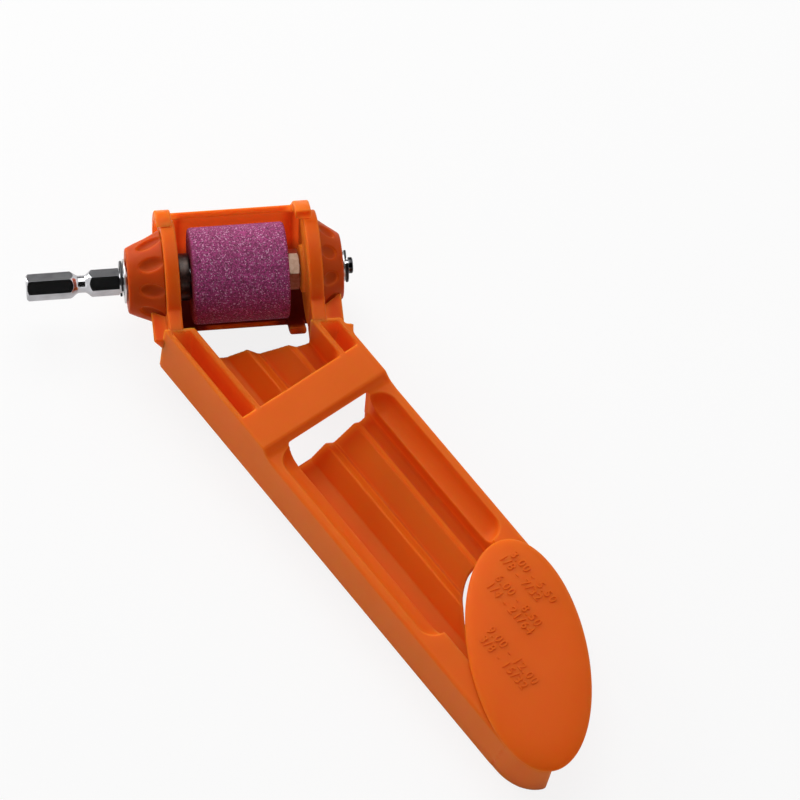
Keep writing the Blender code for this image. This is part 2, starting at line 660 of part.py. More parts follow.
def grinding_wheel():
    """Bonded wheel with softened edges."""
    bore = ARBOR_RADIUS + FIT
    profile = [(WHEEL_START, bore), (WHEEL_START, WHEEL_RADIUS - WHEEL_EDGE),
               (WHEEL_START + WHEEL_EDGE, WHEEL_RADIUS), (WHEEL_END - WHEEL_EDGE, WHEEL_RADIUS),
               (WHEEL_END, WHEEL_RADIUS - WHEEL_EDGE), (WHEEL_END, bore)]
    return turned("grinding_wheel", profile)


def wheel_nut():
    """Thin hexagon nut that clamps the wheel against the collar."""
    nut = prism("wheel_nut", hexagon(NUT_ACROSS_FLATS, NUT_TURN), NUT_START, NUT_END, ALONG_X)
    cut(nut, rod("nut_bore", ARBOR_RADIUS + FIT, NUT_START - BEYOND, NUT_END + BEYOND, SMALL_STEPS))
    return nut


def e_clip(name, seat_radius, radius, start, turn):
    """E-clip with three prongs that reach into its seat, open toward the angle turn."""
    first = turn + CLIP_MOUTH / 2
    sweep = math.tau - CLIP_MOUTH
    prong = seat_radius + FIT
    relief = radius - (radius - prong) / 2 - CLIP_RELIEF / 2
    half = SMALL_STEPS // 2
    inside = []
    for step in range(SMALL_STEPS, -1, -1):
        angle = first + sweep * step / SMALL_STEPS
        reach = prong if step % half in (0, 1, half - 1) else max(prong, relief)
        inside.append((reach * math.cos(angle), reach * math.sin(angle)))
    return prism(name, arc(radius, first, first + sweep) + inside, start, start + CLIP_THICKNESS, ALONG_X)


def add_material(pieces, name, colour, roughness, metallic):
    """Give pieces a material of their own with a plain colour."""
    finish = bpy.data.materials.new(name)
    finish.use_nodes = True
    shader = finish.node_tree.nodes["Principled BSDF"]
    shader.inputs["Base Color"].default_value = (*colour, 1)
    shader.inputs["Roughness"].default_value = roughness
    shader.inputs["Metallic"].default_value = metallic
    for piece in pieces:
        piece.data.materials.clear()
        piece.data.materials.append(finish)


def add_empty(name, parent, matrix):
    """Empty that carries pieces."""
    empty = bpy.data.objects.new(name, None)
    bpy.context.collection.objects.link(empty)
    empty.parent = parent
    empty.matrix_local = matrix
    return empty


def rest_tilt():
    """Angle about the spindle at which the guard and the tail's bottom edge both touch a flat surface."""
    to_head = HEAD.inverted()
    tilts = []
    for x, y in handle_outline(HALF_WIDTH + DRAFT, TAIL_LEAN):
        point = to_head @ Matrix.Translation((x, y, -DEPTH)).translation
        reach = math.hypot(point.y, point.z)
        if point.y < -2 * END_SETBACK:
            tilts.append(math.asin(GUARD_OUTER / reach) + math.atan2(point.z, -point.y))
    return min(tilts)


def stand_on_floor(rest, pieces):
    """Move the whole part so that its lowest point is at height 0 and its box is centred on the origin."""
    bpy.context.view_layer.update()
    corners = [piece.matrix_world @ vert.co for piece in pieces for vert in piece.data.vertices]
    for axis in range(2):
        values = [corner[axis] for corner in corners]
        rest.location[axis] -= (min(values) + max(values)) / 2
    rest.location[2] -= min(corner[2] for corner in corners)


def main():
    """Build every piece, group what turns together and lay the part down."""
    for old in list(bpy.data.objects):
        bpy.data.objects.remove(old)

    body = handle_body()
    guard = wheel_guard()
    caps = [end_cap("drive_end_cap", DRIVE_CAP_BASE, DRIVE_CAP_NOSE, DRIVE_BEARING_RADIUS + FIT),
            end_cap("far_end_cap", FAR_CAP_BASE, FAR_CAP_NOSE, FAR_BEARING_RADIUS + FIT)]
    drive_outer, drive_inner, drive_rolling = ball_bearing(
        "drive", DRIVE_BEARING_BORE, DRIVE_BEARING_RADIUS, DRIVE_BEARING_WIDTH, DRIVE_BEARING_OUTER_FACE,
        DRIVE_BALL_RADIUS, DRIVE_BALLS)
    far_outer, far_inner, far_rolling = ball_bearing(
        "far", FAR_BEARING_BORE, FAR_BEARING_RADIUS, FAR_BEARING_WIDTH, FAR_BEARING_INNER_FACE,
        FAR_BALL_RADIUS, FAR_BALLS)
    bar = spindle()
    wheel = grinding_wheel()
    nut = wheel_nut()
    collar = ring("wheel_collar", ARBOR_RADIUS + FIT, COLLAR_RADIUS, COLLAR_START,
                  COLLAR_START + COLLAR_THICKNESS)
    washers = [ring("drive_washer", DRIVE_JOURNAL + FIT, DRIVE_WASHER_RADIUS,
                    DRIVE_WASHER_INNER_FACE - WASHER_THICKNESS, DRIVE_WASHER_INNER_FACE, SMALL_STEPS),
               ring("far_washer", FAR_JOURNAL + FIT, FAR_WASHER_RADIUS,
                    FAR_WASHER_INNER_FACE, FAR_WASHER_INNER_FACE + WASHER_THICKNESS, SMALL_STEPS)]
    clips = [e_clip("drive_clip", DRIVE_JOURNAL - CLIP_SEAT_DEPTH, DRIVE_CLIP_RADIUS, DRIVE_CLIP_OUTER_FACE,
                    DRIVE_CLIP_TURN),
             e_clip("far_clip", FAR_JOURNAL - CLIP_SEAT_DEPTH, FAR_CLIP_RADIUS, FAR_CLIP_INNER_FACE,
                    FAR_CLIP_TURN)]

    add_material([body], "orange_moulding", (0.60, 0.12, 0.017), 0.35, 0)
    add_material([guard], "orange_guard", (0.58, 0.11, 0.016), 0.35, 0)
    add_material(caps, "orange_caps", (0.58, 0.11, 0.016), 0.35, 0)
    rings = [drive_outer, far_outer, drive_inner, far_inner]
    add_material(rings, "bearing_steel", (0.6, 0.6, 0.62), 0.25, 1)
    add_material(drive_rolling + far_rolling, "polished_steel", (0.7, 0.7, 0.72), 0.12, 1)
    add_material([bar], "plated_steel", (0.55, 0.55, 0.57), 0.22, 1)
    add_material([wheel], "pink_corundum", (0.30, 0.045, 0.16), 0.85, 0)
    add_material([nut] + washers, "zinc_steel", (0.68, 0.68, 0.70), 0.3, 1)
    add_material([collar] + clips, "black_steel", (0.02, 0.02, 0.022), 0.4, 1)

    tilt = HEAD @ Matrix.Rotation(rest_tilt(), 4, "X") @ HEAD.inverted()
    rest = add_empty("rest_frame", None, tilt)
    head = add_empty("head_frame", rest, HEAD)
    body.parent = rest
    fixed = [guard, drive_outer, far_outer] + caps
    turning = [bar, drive_inner, far_inner, wheel, nut, collar] + washers + clips
    rolling = drive_rolling + far_rolling
    for piece in fixed + turning + rolling:
        piece.parent = head
    pieces = [body] + fixed + turning + rolling
    for piece in pieces:
        piece.data.shade_smooth()
        piece.data.set_sharp_from_angle(angle=math.radians(35))
    stand_on_floor(rest, pieces)


main()
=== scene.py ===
import json
import math

import bmesh
import bpy
import numpy as np
from mathutils import Matrix


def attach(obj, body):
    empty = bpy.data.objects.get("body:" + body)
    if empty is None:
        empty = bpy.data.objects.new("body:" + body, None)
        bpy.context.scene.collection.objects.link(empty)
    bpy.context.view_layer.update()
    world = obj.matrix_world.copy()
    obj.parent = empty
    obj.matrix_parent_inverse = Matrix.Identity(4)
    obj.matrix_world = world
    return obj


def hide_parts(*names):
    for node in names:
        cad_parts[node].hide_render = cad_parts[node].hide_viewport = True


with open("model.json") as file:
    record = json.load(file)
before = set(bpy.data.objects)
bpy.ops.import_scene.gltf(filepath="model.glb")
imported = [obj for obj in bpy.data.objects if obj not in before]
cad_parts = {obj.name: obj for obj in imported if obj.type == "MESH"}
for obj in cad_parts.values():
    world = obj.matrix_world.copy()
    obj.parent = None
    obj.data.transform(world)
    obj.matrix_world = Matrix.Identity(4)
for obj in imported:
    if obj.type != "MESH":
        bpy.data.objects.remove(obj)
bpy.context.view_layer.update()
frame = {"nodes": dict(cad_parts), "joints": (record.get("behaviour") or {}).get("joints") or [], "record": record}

MM = 0.001

# Sizes are in millimetres. Handle frame: X across, Y from the tail to the head, height 0 at the walls' tops
HALF_WIDTH = 20.3
DEPTH = 19.5
DRAFT = 0.9
WALL = 1.3
RIB = 1.5
CHANNEL_HALF = 13.2
POCKET_FLOOR = 2.0
LOWER_STEP = 2.4
BRIDGE_LENGTH = 10.8
BRIDGE_THICKNESS = 2.2
BRIDGE_SLANT = 1.9
WINDOW_LAP = 0.4
FLOOR = 1.8
FLOOR_X = (-13.2, -5.8, -0.9, 1.9, 8.6, 10.4, 13.2)
FLOOR_Z = (-17.5, -17.5, -14.0, -16.8, -13.1, -14.5, -12.9)
SCOOP_RADIUS = 4.8
SCOOP_START = 0.8
RIGHT_SCOOP_LENGTH = 53.0
LEFT_SCOOP_LENGTH = 67.0
SCOOP_ROOF = 2.0
HOLLOW_START = 2.5
RIGHT_HOLLOW_LENGTH = 50.0
LEFT_HOLLOW_LENGTH = 72.0
FLARE_REACH = 1.7
FLARE_LENGTH = 6.5
FLARE_DEPTH = 12.0

# Oval thumb plate at the tail and the rows of figures on it: middle of the row across, start and text
PLATE_LONG = 33.9
PLATE_SHORT = 15.6
PLATE_TURN = math.radians(27.3)
PLATE_Y = -99.0
PLATE_LAP = 0.3
PLATE_RIM = 1.4
PLATE_RISE = 2.8
PLATE_POWER = 3.2
PLATE_UNDERCUT = 1.4
TAIL_LEAN = 4.0
TAIL_WALL = 2.2
TAIL_WALL_END = 0.4
RIGHT_WALL_END = -95.0
HOLE_HEADROOM = 4.0
FIGURE_HEIGHT = 2.4
FIGURE_RELIEF = 0.26
FIGURE_SPACING = 1.22
ROWS = ((14.2, -74.0, "3.00 - 5.50"), (11.2, -73.5, "1/8 - 7/32"), (6.6, -77.2, "6.00 - 8.50"),
        (3.5, -78.0, "1/4 - 21/64"), (-4.4, -88.0, "9.00 - 12.00"), (-7.5, -89.0, "3/8 - 15/32"))

# Head: the spindle's place and the flanges, arms and gussets that carry it
TURN = math.radians(31)
AXIS_CROSSING = 44.2
AXIS_DROP = 7.2
END_SETBACK = 19.6
FLANGE_RADIUS = 15.6
FLANGE_THICKNESS = 3.8
FLANGE_LIP = 2.6
ARM_LAP = 0.8
ARM_FOOT = 2.5
GUSSET_DROP = 5.0
GUSSET_TAPER = 0.55
GUSSET_INNER = 4.0
GUSSET_REACH = {-1: 4.2, 1: 5.2}
SPIGOT_WALL = 1.0
BOSS_RADIUS = 6.4
GAP = 0.3

# Wheel guard: angles about the spindle, from the handle side over the top
GUARD_SHELL = 1.8
GUARD_RIM = 2.4
GUARD_EDGE_INSET = 0.1
STRAP_WIDTH = 4.2
STRAP_START = math.radians(118)
STRAP_TAPER = math.radians(22)
GUARD_FRONT = -17.0
SHADE_HEIGHTS = (12.0, 6.0)
SHELL_START = math.radians(161)
SHELL_END = math.radians(298.5)
STRAP_END = math.radians(296)
TAB_START = math.radians(290)
TAB_END = math.radians(324)
TAB_WIDTH = 4.6

# End caps
CAP_RADIUS = 13.0
CAP_NOSE_RADIUS = 8.7
CAP_NOSE_WALL = 1.1
CAP_NOSE_BORE = 5.2
FLUTES = 10
FLUTE_TURN = math.radians(27.5)
FLUTE_MIDDLE = 0.36
FLUTE_REACH = 0.34
FLUTE_HALF_WIDTH = 1.9
FLUTE_DEPTH = 1.3

# Spindle, wheel, nut, rings and spring clips
HEX_ACROSS_FLATS = 6.35
HEX_TURN = math.radians(124)
SHANK_CHAMFER = 0.6
SHANK_LENGTH = 24.9
GROOVE_FROM_TIP = 11.3
GROOVE_RUN_IN = 2.9
GROOVE_FLAT = 1.3
GROOVE_RUN_OUT = 2.4
GROOVE_RADIUS = 2.33
DRIVE_JOURNAL = 3.7
FAR_JOURNAL = 2.2
ARBOR_RADIUS = 3.0
CLIP_SEAT_DEPTH = 0.6
WHEEL_EDGE = 0.9
WHEEL_ROUGHNESS = 0.02
WASHER_EDGE = 0.12
COLLAR_EDGE = 0.3
NUT_ACROSS_FLATS = 10.0
NUT_TURN = math.radians(102)
CLIP_MOUTH = math.radians(100)
DRIVE_CLIP_TURN = math.radians(200)
FAR_CLIP_TURN = math.radians(60)

# How far moulded edges and corners are rounded
CRISP = 0.25
SOFT = 0.45
ROUND = 0.8

# Grids that skins are worked out on: spacings, the room round a piece, the trough's plain stretch and its end
TROUGH_GRID = 0.5
TAIL_GRID = 0.6
PLAIN_GRID = 1.4
HEAD_GRID = 0.45
CAP_GRID = 0.3
MARGIN = 1.0
PLAIN_START = -64.0
PLAIN_END = -24.0
TROUGH_END = 35.0

# Colours of the orange plastic: body and cloud are its own colours; nook, deep and shade are painted shade,
# recess and glow are painted light, and edge is a painted highlight
BODY_ORANGE = (0.85, 0.165, 0.012, 1)
CLOUD_ORANGE = (0.79, 0.148, 0.010, 1)
NOOK_SHADE_ORANGE = (0.88, 0.125, 0.007, 1)
RECESS_LIGHT_ORANGE = (0.98, 0.25, 0.022, 1)
EDGE_HIGHLIGHT_ORANGE = (0.90, 0.24, 0.040, 1)
DEEP_SHADE_ORANGE = (0.46, 0.048, 0.002, 1)
SHADE_ORANGE = (0.20, 0.016, 0.006, 1)
GLOW_ORANGE = (0.13, 0.030, 0.004, 1)
DARK = (0, 0, 0, 1)

# Lamps in metres and watts: name, place, width and power
LAMPS = (("key", (0.25, 0.45, 0.95), 0.8, 5.4), ("back", (-0.1, 0.95, 0.28), 0.6, 6.3),
         ("left", (-0.85, -0.1, 0.5), 0.7, 0.4), ("right", (0.8, -0.3, 0.5), 0.7, 0.5))

# Cards that metal mirrors: name, direction in the head frame, distance, half width and tone
CARDS = (("front_card", (0.09, -0.50, 0.86), 800, 560, 0.01),
         ("back_card", (0.09, 0.98, 0.17), 700, 260, 0.3))

# Floor's half width in metres, how white the camera and a mirror see it, and the surround's light on the part
FLOOR_REACH = 3.0
FLOOR_SEEN = 0.85
FLOOR_MIRRORED = 0.3
WORLD_LEVEL = 0.26

# Camera in the handle frame
CAMERA_PLACE = np.array([-546.977, -645.909, 1541.992])
CAMERA_RIGHT = np.array([0.7959986, -0.6034961, 0.0466766])
CAMERA_DOWN = np.array([-0.5129144, -0.7134472, -0.4774012])
CAMERA_FORWARD = np.array([0.3214110, 0.3560696, -0.8774448])
CAMERA_LENS = 298.948
CAMERA_SENSOR = 36

# Places worked out from the sizes above
BRIDGE_FRONT = -BRIDGE_LENGTH - BRIDGE_SLANT
POCKET_INNER = CHANNEL_HALF + RIB
POCKET_OUTER = HALF_WIDTH - WALL
PLATE_EDGE = PLATE_RIM - LOWER_STEP - PLATE_LAP
GUARD_OUTER = FLANGE_RADIUS + GAP + GUARD_RIM
GUSSET_TOP = AXIS_DROP - GUSSET_DROP


def named(entries, name):
    """The entry of a list in the record that has this name."""
    return next(entry for entry in entries if entry["name"] == name)


# The head frame and the handle frame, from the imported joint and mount
SPIN = named(frame["joints"], "spindle_spin")
UP = np.array(named(frame["record"]["mounts"], "bridge_top")["axis"])
ALONG = np.array(SPIN["axis"]) / np.linalg.norm(SPIN["axis"])
AWAY = np.cross(UP, ALONG)
HEAD_ORIGIN = np.array(SPIN["pos_m"])
HEAD_AXES = np.array([ALONG, AWAY, UP])
HANDLE_AXES = np.array([math.cos(TURN) * ALONG + math.sin(TURN) * AWAY,
                        math.cos(TURN) * AWAY - math.sin(TURN) * ALONG, UP])
HANDLE_ORIGIN = HEAD_ORIGIN + MM * (AXIS_DROP * UP - AXIS_CROSSING * HANDLE_AXES[1])


def from_head(points):
    """Head frame points in millimetres, set in the row frame in metres."""
    return HEAD_ORIGIN + MM * points @ HEAD_AXES


def from_handle(points):
    """Handle frame points in millimetres, set in the row frame in metres."""
    return HANDLE_ORIGIN + MM * points @ HANDLE_AXES


def mesh_points(mesh):
    """Places of a mesh's points."""
    points = np.empty(len(mesh.vertices) * 3)
    mesh.vertices.foreach_get("co", points)
    return points.reshape(-1, 3)


def extent(node):
    """A CAD node's start and end along the spindle, and its least and greatest radius, in millimetres."""
    local = (mesh_points(frame["nodes"][node].data) - HEAD_ORIGIN) @ HEAD_AXES.T / MM
    radius = np.hypot(local[:, 1], local[:, 2])
    return local[:, 0].min(), local[:, 0].max(), radius.min(), radius.max()


def outward(side, node):
    """Ends of a CAD node along the spindle, the one nearer the wheel first."""
    low, high = extent(node)[:2]
    return (low, high) if side > 0 else (high, low)


# By side of the wheel: each cap's base and nose, each bearing's inner face and radius, each flange's faces
CAPS = {-1: outward(-1, "drive_end_cap"), 1: outward(1, "far_end_cap")}
BEARINGS = {-1: (outward(-1, "drive_bearing_outer")[0], extent("drive_bearing_outer")[3]),
            1: (outward(1, "far_bearing_outer")[0], extent("far_bearing_outer")[3])}
FLANGES = {side: (CAPS[side][0] - side * GAP, CAPS[side][0] - side * (GAP + FLANGE_THICKNESS))
           for side in (-1, 1)}
NUT_END = extent("wheel_nut")[1]
CAP_TAPER = {side: (CAP_RADIUS - CAP_NOSE_RADIUS) / abs(CAPS[side][1] - CAPS[side][0]) for side in (-1, 1)}


# Meshes from arrays

def add_piece(name, points, faces, finish, body, nodes, normals=None, marks=None):
    """Object at the origin from points in metres, riding on a body in the place of its CAD nodes."""
    mesh = bpy.data.meshes.new(name)
    mesh.from_pydata(points, [], faces)
    mesh.shade_smooth()
    for mark, values in (marks or {}).items():
        attribute = mesh.attributes.new(mark, "FLOAT", "POINT")
        attribute.data.foreach_set("value", values.astype(np.float32))
    if normals is not None:
        mesh.normals_split_custom_set_from_vertices(normals)
    mesh.materials.append(finish)
    piece = bpy.data.objects.new(name, mesh)
    bpy.context.scene.collection.objects.link(piece)
    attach(piece, body)
    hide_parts(*nodes)
    return piece


def close_seams(piece, sharp=40):
    """Merge the points that meet at seams and poles, turn the faces outward and keep crisp edges crisp."""
    shape = bmesh.new()
    shape.from_mesh(piece.data)
    bmesh.ops.remove_doubles(shape, verts=shape.verts, dist=1e-7)
    bmesh.ops.recalc_face_normals(shape, faces=shape.faces)
    shape.to_mesh(piece.data)
    shape.free()
    piece.data.set_sharp_from_angle(angle=math.radians(sharp))
    return piece


def grid_faces(rows, columns, wrap_rows=False):
    """Quads of a grid of points whose columns close round; its rows close too where asked."""
    row = np.arange(rows if wrap_rows else rows - 1)[:, None]
    column = np.arange(columns)[None, :]
    after_row = (row + 1) % rows
    after_column = (column + 1) % columns
    corners = (row * columns + column, row * columns + after_column,
               after_row * columns + after_column, after_row * columns + column)
    return np.stack([corner.ravel() for corner in corners], 1)


def rounded_section(corners, radius, steps=5):
    """Closed outline whose corners are each a curve from radius before the corner to radius after it,
    (1-t)^2 of the first point, 2t(1-t) of the corner and t^2 of the last."""
    corners = np.asarray(corners, float)
    before = np.roll(corners, 1, 0) - corners
    after = np.roll(corners, -1, 0) - corners
    start = corners + radius * before / np.linalg.norm(before, axis=1, keepdims=True)
    end = corners + radius * after / np.linalg.norm(after, axis=1, keepdims=True)
    t = np.linspace(0, 1, steps)[None, :, None]
    curve = (1 - t) ** 2 * start[:, None] + 2 * t * (1 - t) * corners[:, None] + t ** 2 * end[:, None]
    return curve.reshape(-1, 2)


def turned_points(section, steps):
    """A section of (along, radius) points carried round the spindle: each gives a circle of that radius."""
    angle = np.linspace(0, 2 * np.pi, steps, endpoint=False)[None, :]
    along = np.broadcast_to(section[:, :1], (len(section), steps))
    across = section[:, 1:] * np.cos(angle)
    height = section[:, 1:] * np.sin(angle)
    return np.stack([along, across, height], 2).reshape(-1, 3)


# Solids as fields: negative inside, and about the distance in millimetres to the skin elsewhere

def both(a, b, ease):
    """Common part of two fields: the greater of them, with the edge rounded over ease."""
    near = np.maximum(ease - np.abs(a - b), 0)
    return np.maximum(a, b) + near * near / (4 * ease)


def either(a, b, ease):
    """Union of two fields: the smaller of them, with the inner corner filleted over ease."""
    return -both(-a, -b, ease)


def without(a, b, ease):
    """First field with the second cut away, the edge rounded over ease."""
    return both(a, -b, ease)


def slab(value, low, high):
    """Stretch between two values, in either order."""
    return np.abs(value - (low + high) / 2) - abs(high - low) / 2


def block(x, y, z, box, ease):
    """Box with rounded edges, from two values on each axis."""
    return both(both(slab(x, *box[0]), slab(y, *box[1]), ease), slab(z, *box[2]), ease)


def beside(x, y, start, end):
    """Distance to the left of the line from start to end, in plan."""
    run, rise = end[0] - start[0], end[1] - start[1]
    return (run * (y - start[1]) - rise * (x - start[0])) / math.hypot(run, rise)


def ellipsoid(place, sizes):
    """Oval or egg with these half lengths: with q the place scaled to them, about |q|(|q| - 1) divided by the
    steepness of |q|."""
    scaled = np.sqrt(sum((part / size) ** 2 for part, size in zip(place, sizes)))
    steep = np.sqrt(sum((part / size ** 2) ** 2 for part, size in zip(place, sizes)))
    return scaled * (scaled - 1) / np.maximum(steep, 1e-6)


def slope(field, points, step=0.02):
    """Slope of a field at points, from its values a step to each side."""
    moves = step * np.eye(3)
    sides = [field(*(points + move).T) - field(*(points - move).T) for move in moves]
    return np.stack(sides, 1) / (2 * step)


CORNERS = np.array([(i, j, k) for i in (0, 1) for j in (0, 1) for k in (0, 1)])
EDGES = np.array([(a, b) for a in range(8) for b in range(8) if b - a in (1, 2, 4) and (b ^ a) == b - a])


def level_surface(field, axes, rounds=4):
    """Closed skin where a field is zero: each grid cell that the skin crosses gets one point, the mean of the
    crossings on its edges, drawn onto the skin along the field's slope, and each crossed grid edge gets the
    quad of the four cells round it."""
    grid = np.broadcast_to(field(axes[0][:, None, None], axes[1][None, :, None], axes[2][None, None, :]),
                           [len(axis) for axis in axes])
    inside = grid < 0
    full = sum(inside[i:i - 1 or None, j:j - 1 or None, k:k - 1 or None].astype(np.int8)
               for i, j, k in CORNERS)
    cells = np.argwhere((full > 0) & (full < 8))
    at = cells[:, None, :] + CORNERS
    values = grid[at[..., 0], at[..., 1], at[..., 2]]
    first, second = values[:, EDGES[:, 0]], values[:, EDGES[:, 1]]
    crossed = (first < 0) != (second < 0)
    share = np.where(crossed, first / np.where(crossed, first - second, 1), 0)[..., None]
    spots = CORNERS[EDGES[:, 0]] + share * (CORNERS[EDGES[:, 1]] - CORNERS[EDGES[:, 0]])
    mean = (spots * crossed[..., None]).sum(1) / crossed.sum(1)[:, None]
    low = np.stack([axis[cell] for axis, cell in zip(axes, cells.T)], 1)
    high = np.stack([axis[cell + 1] for axis, cell in zip(axes, cells.T)], 1)
    points = low + mean * (high - low)
    limit = 0.4 * np.min([np.diff(axis).min() for axis in axes])
    for _ in range(rounds):
        lean = slope(field, points)
        steep = np.maximum((lean ** 2).sum(1), 1e-6)
        move = lean * (field(*points.T) / steep)[:, None]
        length = np.maximum(np.linalg.norm(move, axis=1), 1e-9)
        points = points - move * np.minimum(1, limit / length)[:, None]
    number = np.full(full.shape, -1)
    number[tuple(cells.T)] = np.arange(len(cells))
    quads = []
    for axis in range(3):
        solid = np.moveaxis(inside, axis, 0)[:, 1:-1, 1:-1]
        cell = np.moveaxis(number, axis, 0)
        skin = solid[:-1] != solid[1:]
        ring = (cell[:, :-1, :-1], cell[:, 1:, :-1], cell[:, 1:, 1:], cell[:, :-1, 1:])
        quad = np.stack([part[skin] for part in ring], 1)
        turned_over = solid[1:][skin] ^ (axis == 1)
        quads.append(np.where(turned_over[:, None], quad[:, ::-1], quad))
    lean = slope(field, points)
    normals = lean / np.maximum(np.linalg.norm(lean, axis=1, keepdims=True), 1e-9)
    return points, np.concatenate(quads), normals


def skin_marks(field, room, points, normals):
    """Two values for each point of a skin: nook is how closed in the space above it is, the mean over three
    heights of the share of the height that the nearest skin cuts off, and edge is how thin the solid is."""
    heights = (1.5, 4.0, 9.0)
    closed = [1 - np.clip(room(*(points + height * normals).T) / height, 0, 1) for height in heights]
    depth = 0.6
    thin = 1 - np.clip(-field(*(points - depth * normals).T) / depth, 0, 1)
    return {"nook": sum(closed) / len(closed), "edge": np.clip(2 * thin, 0, 1)}


def add_level(name, field, axes, place, turn, finish, body, nodes, room=None):
    """Piece whose skin is where a field is zero, with its marks; what closes it in is its own field, or that
    of the room round it."""
    points, quads, normals = level_surface(field, axes)
    marks = skin_marks(field, room or field, points, normals)
    return add_piece(name, place(points), quads, finish, body, nodes, normals @ turn, marks)


def spaced(*stretches):
    """Grid values over joined stretches, each (start, end, spacing)."""
    parts = [np.arange(start, end - spacing / 2, spacing) for start, end, spacing in stretches]
    return np.concatenate(parts + [[stretches[-1][1]]])


def round_axes(low, high, radius, margin, along, across):
    """Grid values about a round piece on the spindle, from its ends, radius, a margin and two spacings."""
    reach = radius + margin
    side = spaced((-reach, reach, across))
    return spaced((low - margin, high + margin, along)), side, side


# Shader maths

class Wire:
    """A shader socket that Python's operators work on: each one adds a Math node."""

    def __init__(self, finish, socket):
        self.finish = finish
        self.socket = socket

    def math(self, operation, first, second):
        return self.finish.node("ShaderNodeMath", {"operation": operation}, {0: first, 1: second})

    def __add__(self, other):
        return self.math("ADD", self, other)

    def __radd__(self, other):
        return self.math("ADD", other, self)

    def __sub__(self, other):
        return self.math("SUBTRACT", self, other)

    def __rsub__(self, other):
        return self.math("SUBTRACT", other, self)

    def __mul__(self, other):
        return self.math("MULTIPLY", self, other)

    def __rmul__(self, other):
        return self.math("MULTIPLY", other, self)


class Finish:
    """A node tree under construction: a material's, on Blender's Principled shader, or the world's."""

    def __init__(self, name, kind="materials", shader="Principled BSDF"):
        self.material = getattr(bpy.data, kind).new(name)
        self.material.use_nodes = True
        self.tree = self.material.node_tree
        self.shader = self.tree.nodes[shader]

    def connect(self, socket, value):
        """Link a wire to a socket, or set a plain value on it."""
        if isinstance(value, Wire):
            self.tree.links.new(value.socket, socket)
        else:
            socket.default_value = value

    def node(self, kind, settings, sockets, output=0):
        """Add a node: its settings first, then its sockets' values or links."""
        made = self.tree.nodes.new(kind)
        for setting, value in settings.items():
            setattr(made, setting, value)
        for socket, value in sockets.items():
            self.connect(made.inputs[socket], value)
        return Wire(self, made.outputs[output])

    def coordinates(self):
        """The piece's own place in the row frame."""
        return self.node("ShaderNodeTexCoord", {}, {}, "Object")

    def mark(self, name):
        """A value stored on the mesh's points."""
        return self.node("ShaderNodeAttribute", {"attribute_name": name}, {}, "Fac")

    def noise(self, where, size, detail=2, roughness=0.5):
        """Smooth noise whose lumps are about size metres wide."""
        sockets = {"Vector": where, "Scale": 1 / size, "Detail": detail, "Roughness": roughness}
        return self.node("ShaderNodeTexNoise", {}, sockets)

    def cells(self, where, size):
        """A different colour for each cell of about size metres."""
        return self.node("ShaderNodeTexVoronoi", {}, {"Vector": where, "Scale": 1 / size}, "Color")

    def between(self, value, low, high, start=0.0, end=1.0):
        """Value carried from the range low to high onto start to end, and held there outside it."""
        sockets = {"Value": value, "From Min": low, "From Max": high, "To Min": start, "To Max": end}
        return self.node("ShaderNodeMapRange", {}, sockets)

    def mix(self, factor, first, second):
        """Colour between two colours."""
        return self.node("ShaderNodeMix", {"data_type": "RGBA"}, {0: factor, 6: first, 7: second}, 2)

    def along(self, where, direction):
        """How far a place lies along a direction."""
        sockets = {0: where, 1: tuple(direction)}
        return self.node("ShaderNodeVectorMath", {"operation": "DOT_PRODUCT"}, sockets, "Value")

    def rings(self, where, width):
        """Noise that changes only along the spindle, as fine turning lines about width metres wide."""
        place = self.node("ShaderNodeCombineXYZ", {}, {0: self.along(where, ALONG)})
        return self.noise(place, width)

    def bump(self, height, depth, strength):
        """Surface relief of a depth in metres."""
        return self.node("ShaderNodeBump", {}, {"Strength": strength, "Distance": depth, "Height": height})

    def rays(self):
        """Whether the camera, a mirror or a clear body looks."""
        return [self.node("ShaderNodeLightPath", {}, {}, ray)
                for ray in ("Is Camera Ray", "Is Glossy Ray", "Is Transmission Ray")]

    def paint(self, **sockets):
        """Set or link the shader's sockets, named with underscores for spaces, and return what it paints."""
        for socket, value in sockets.items():
            self.connect(self.shader.inputs[socket.replace("_", " ")], value)
        return self.material


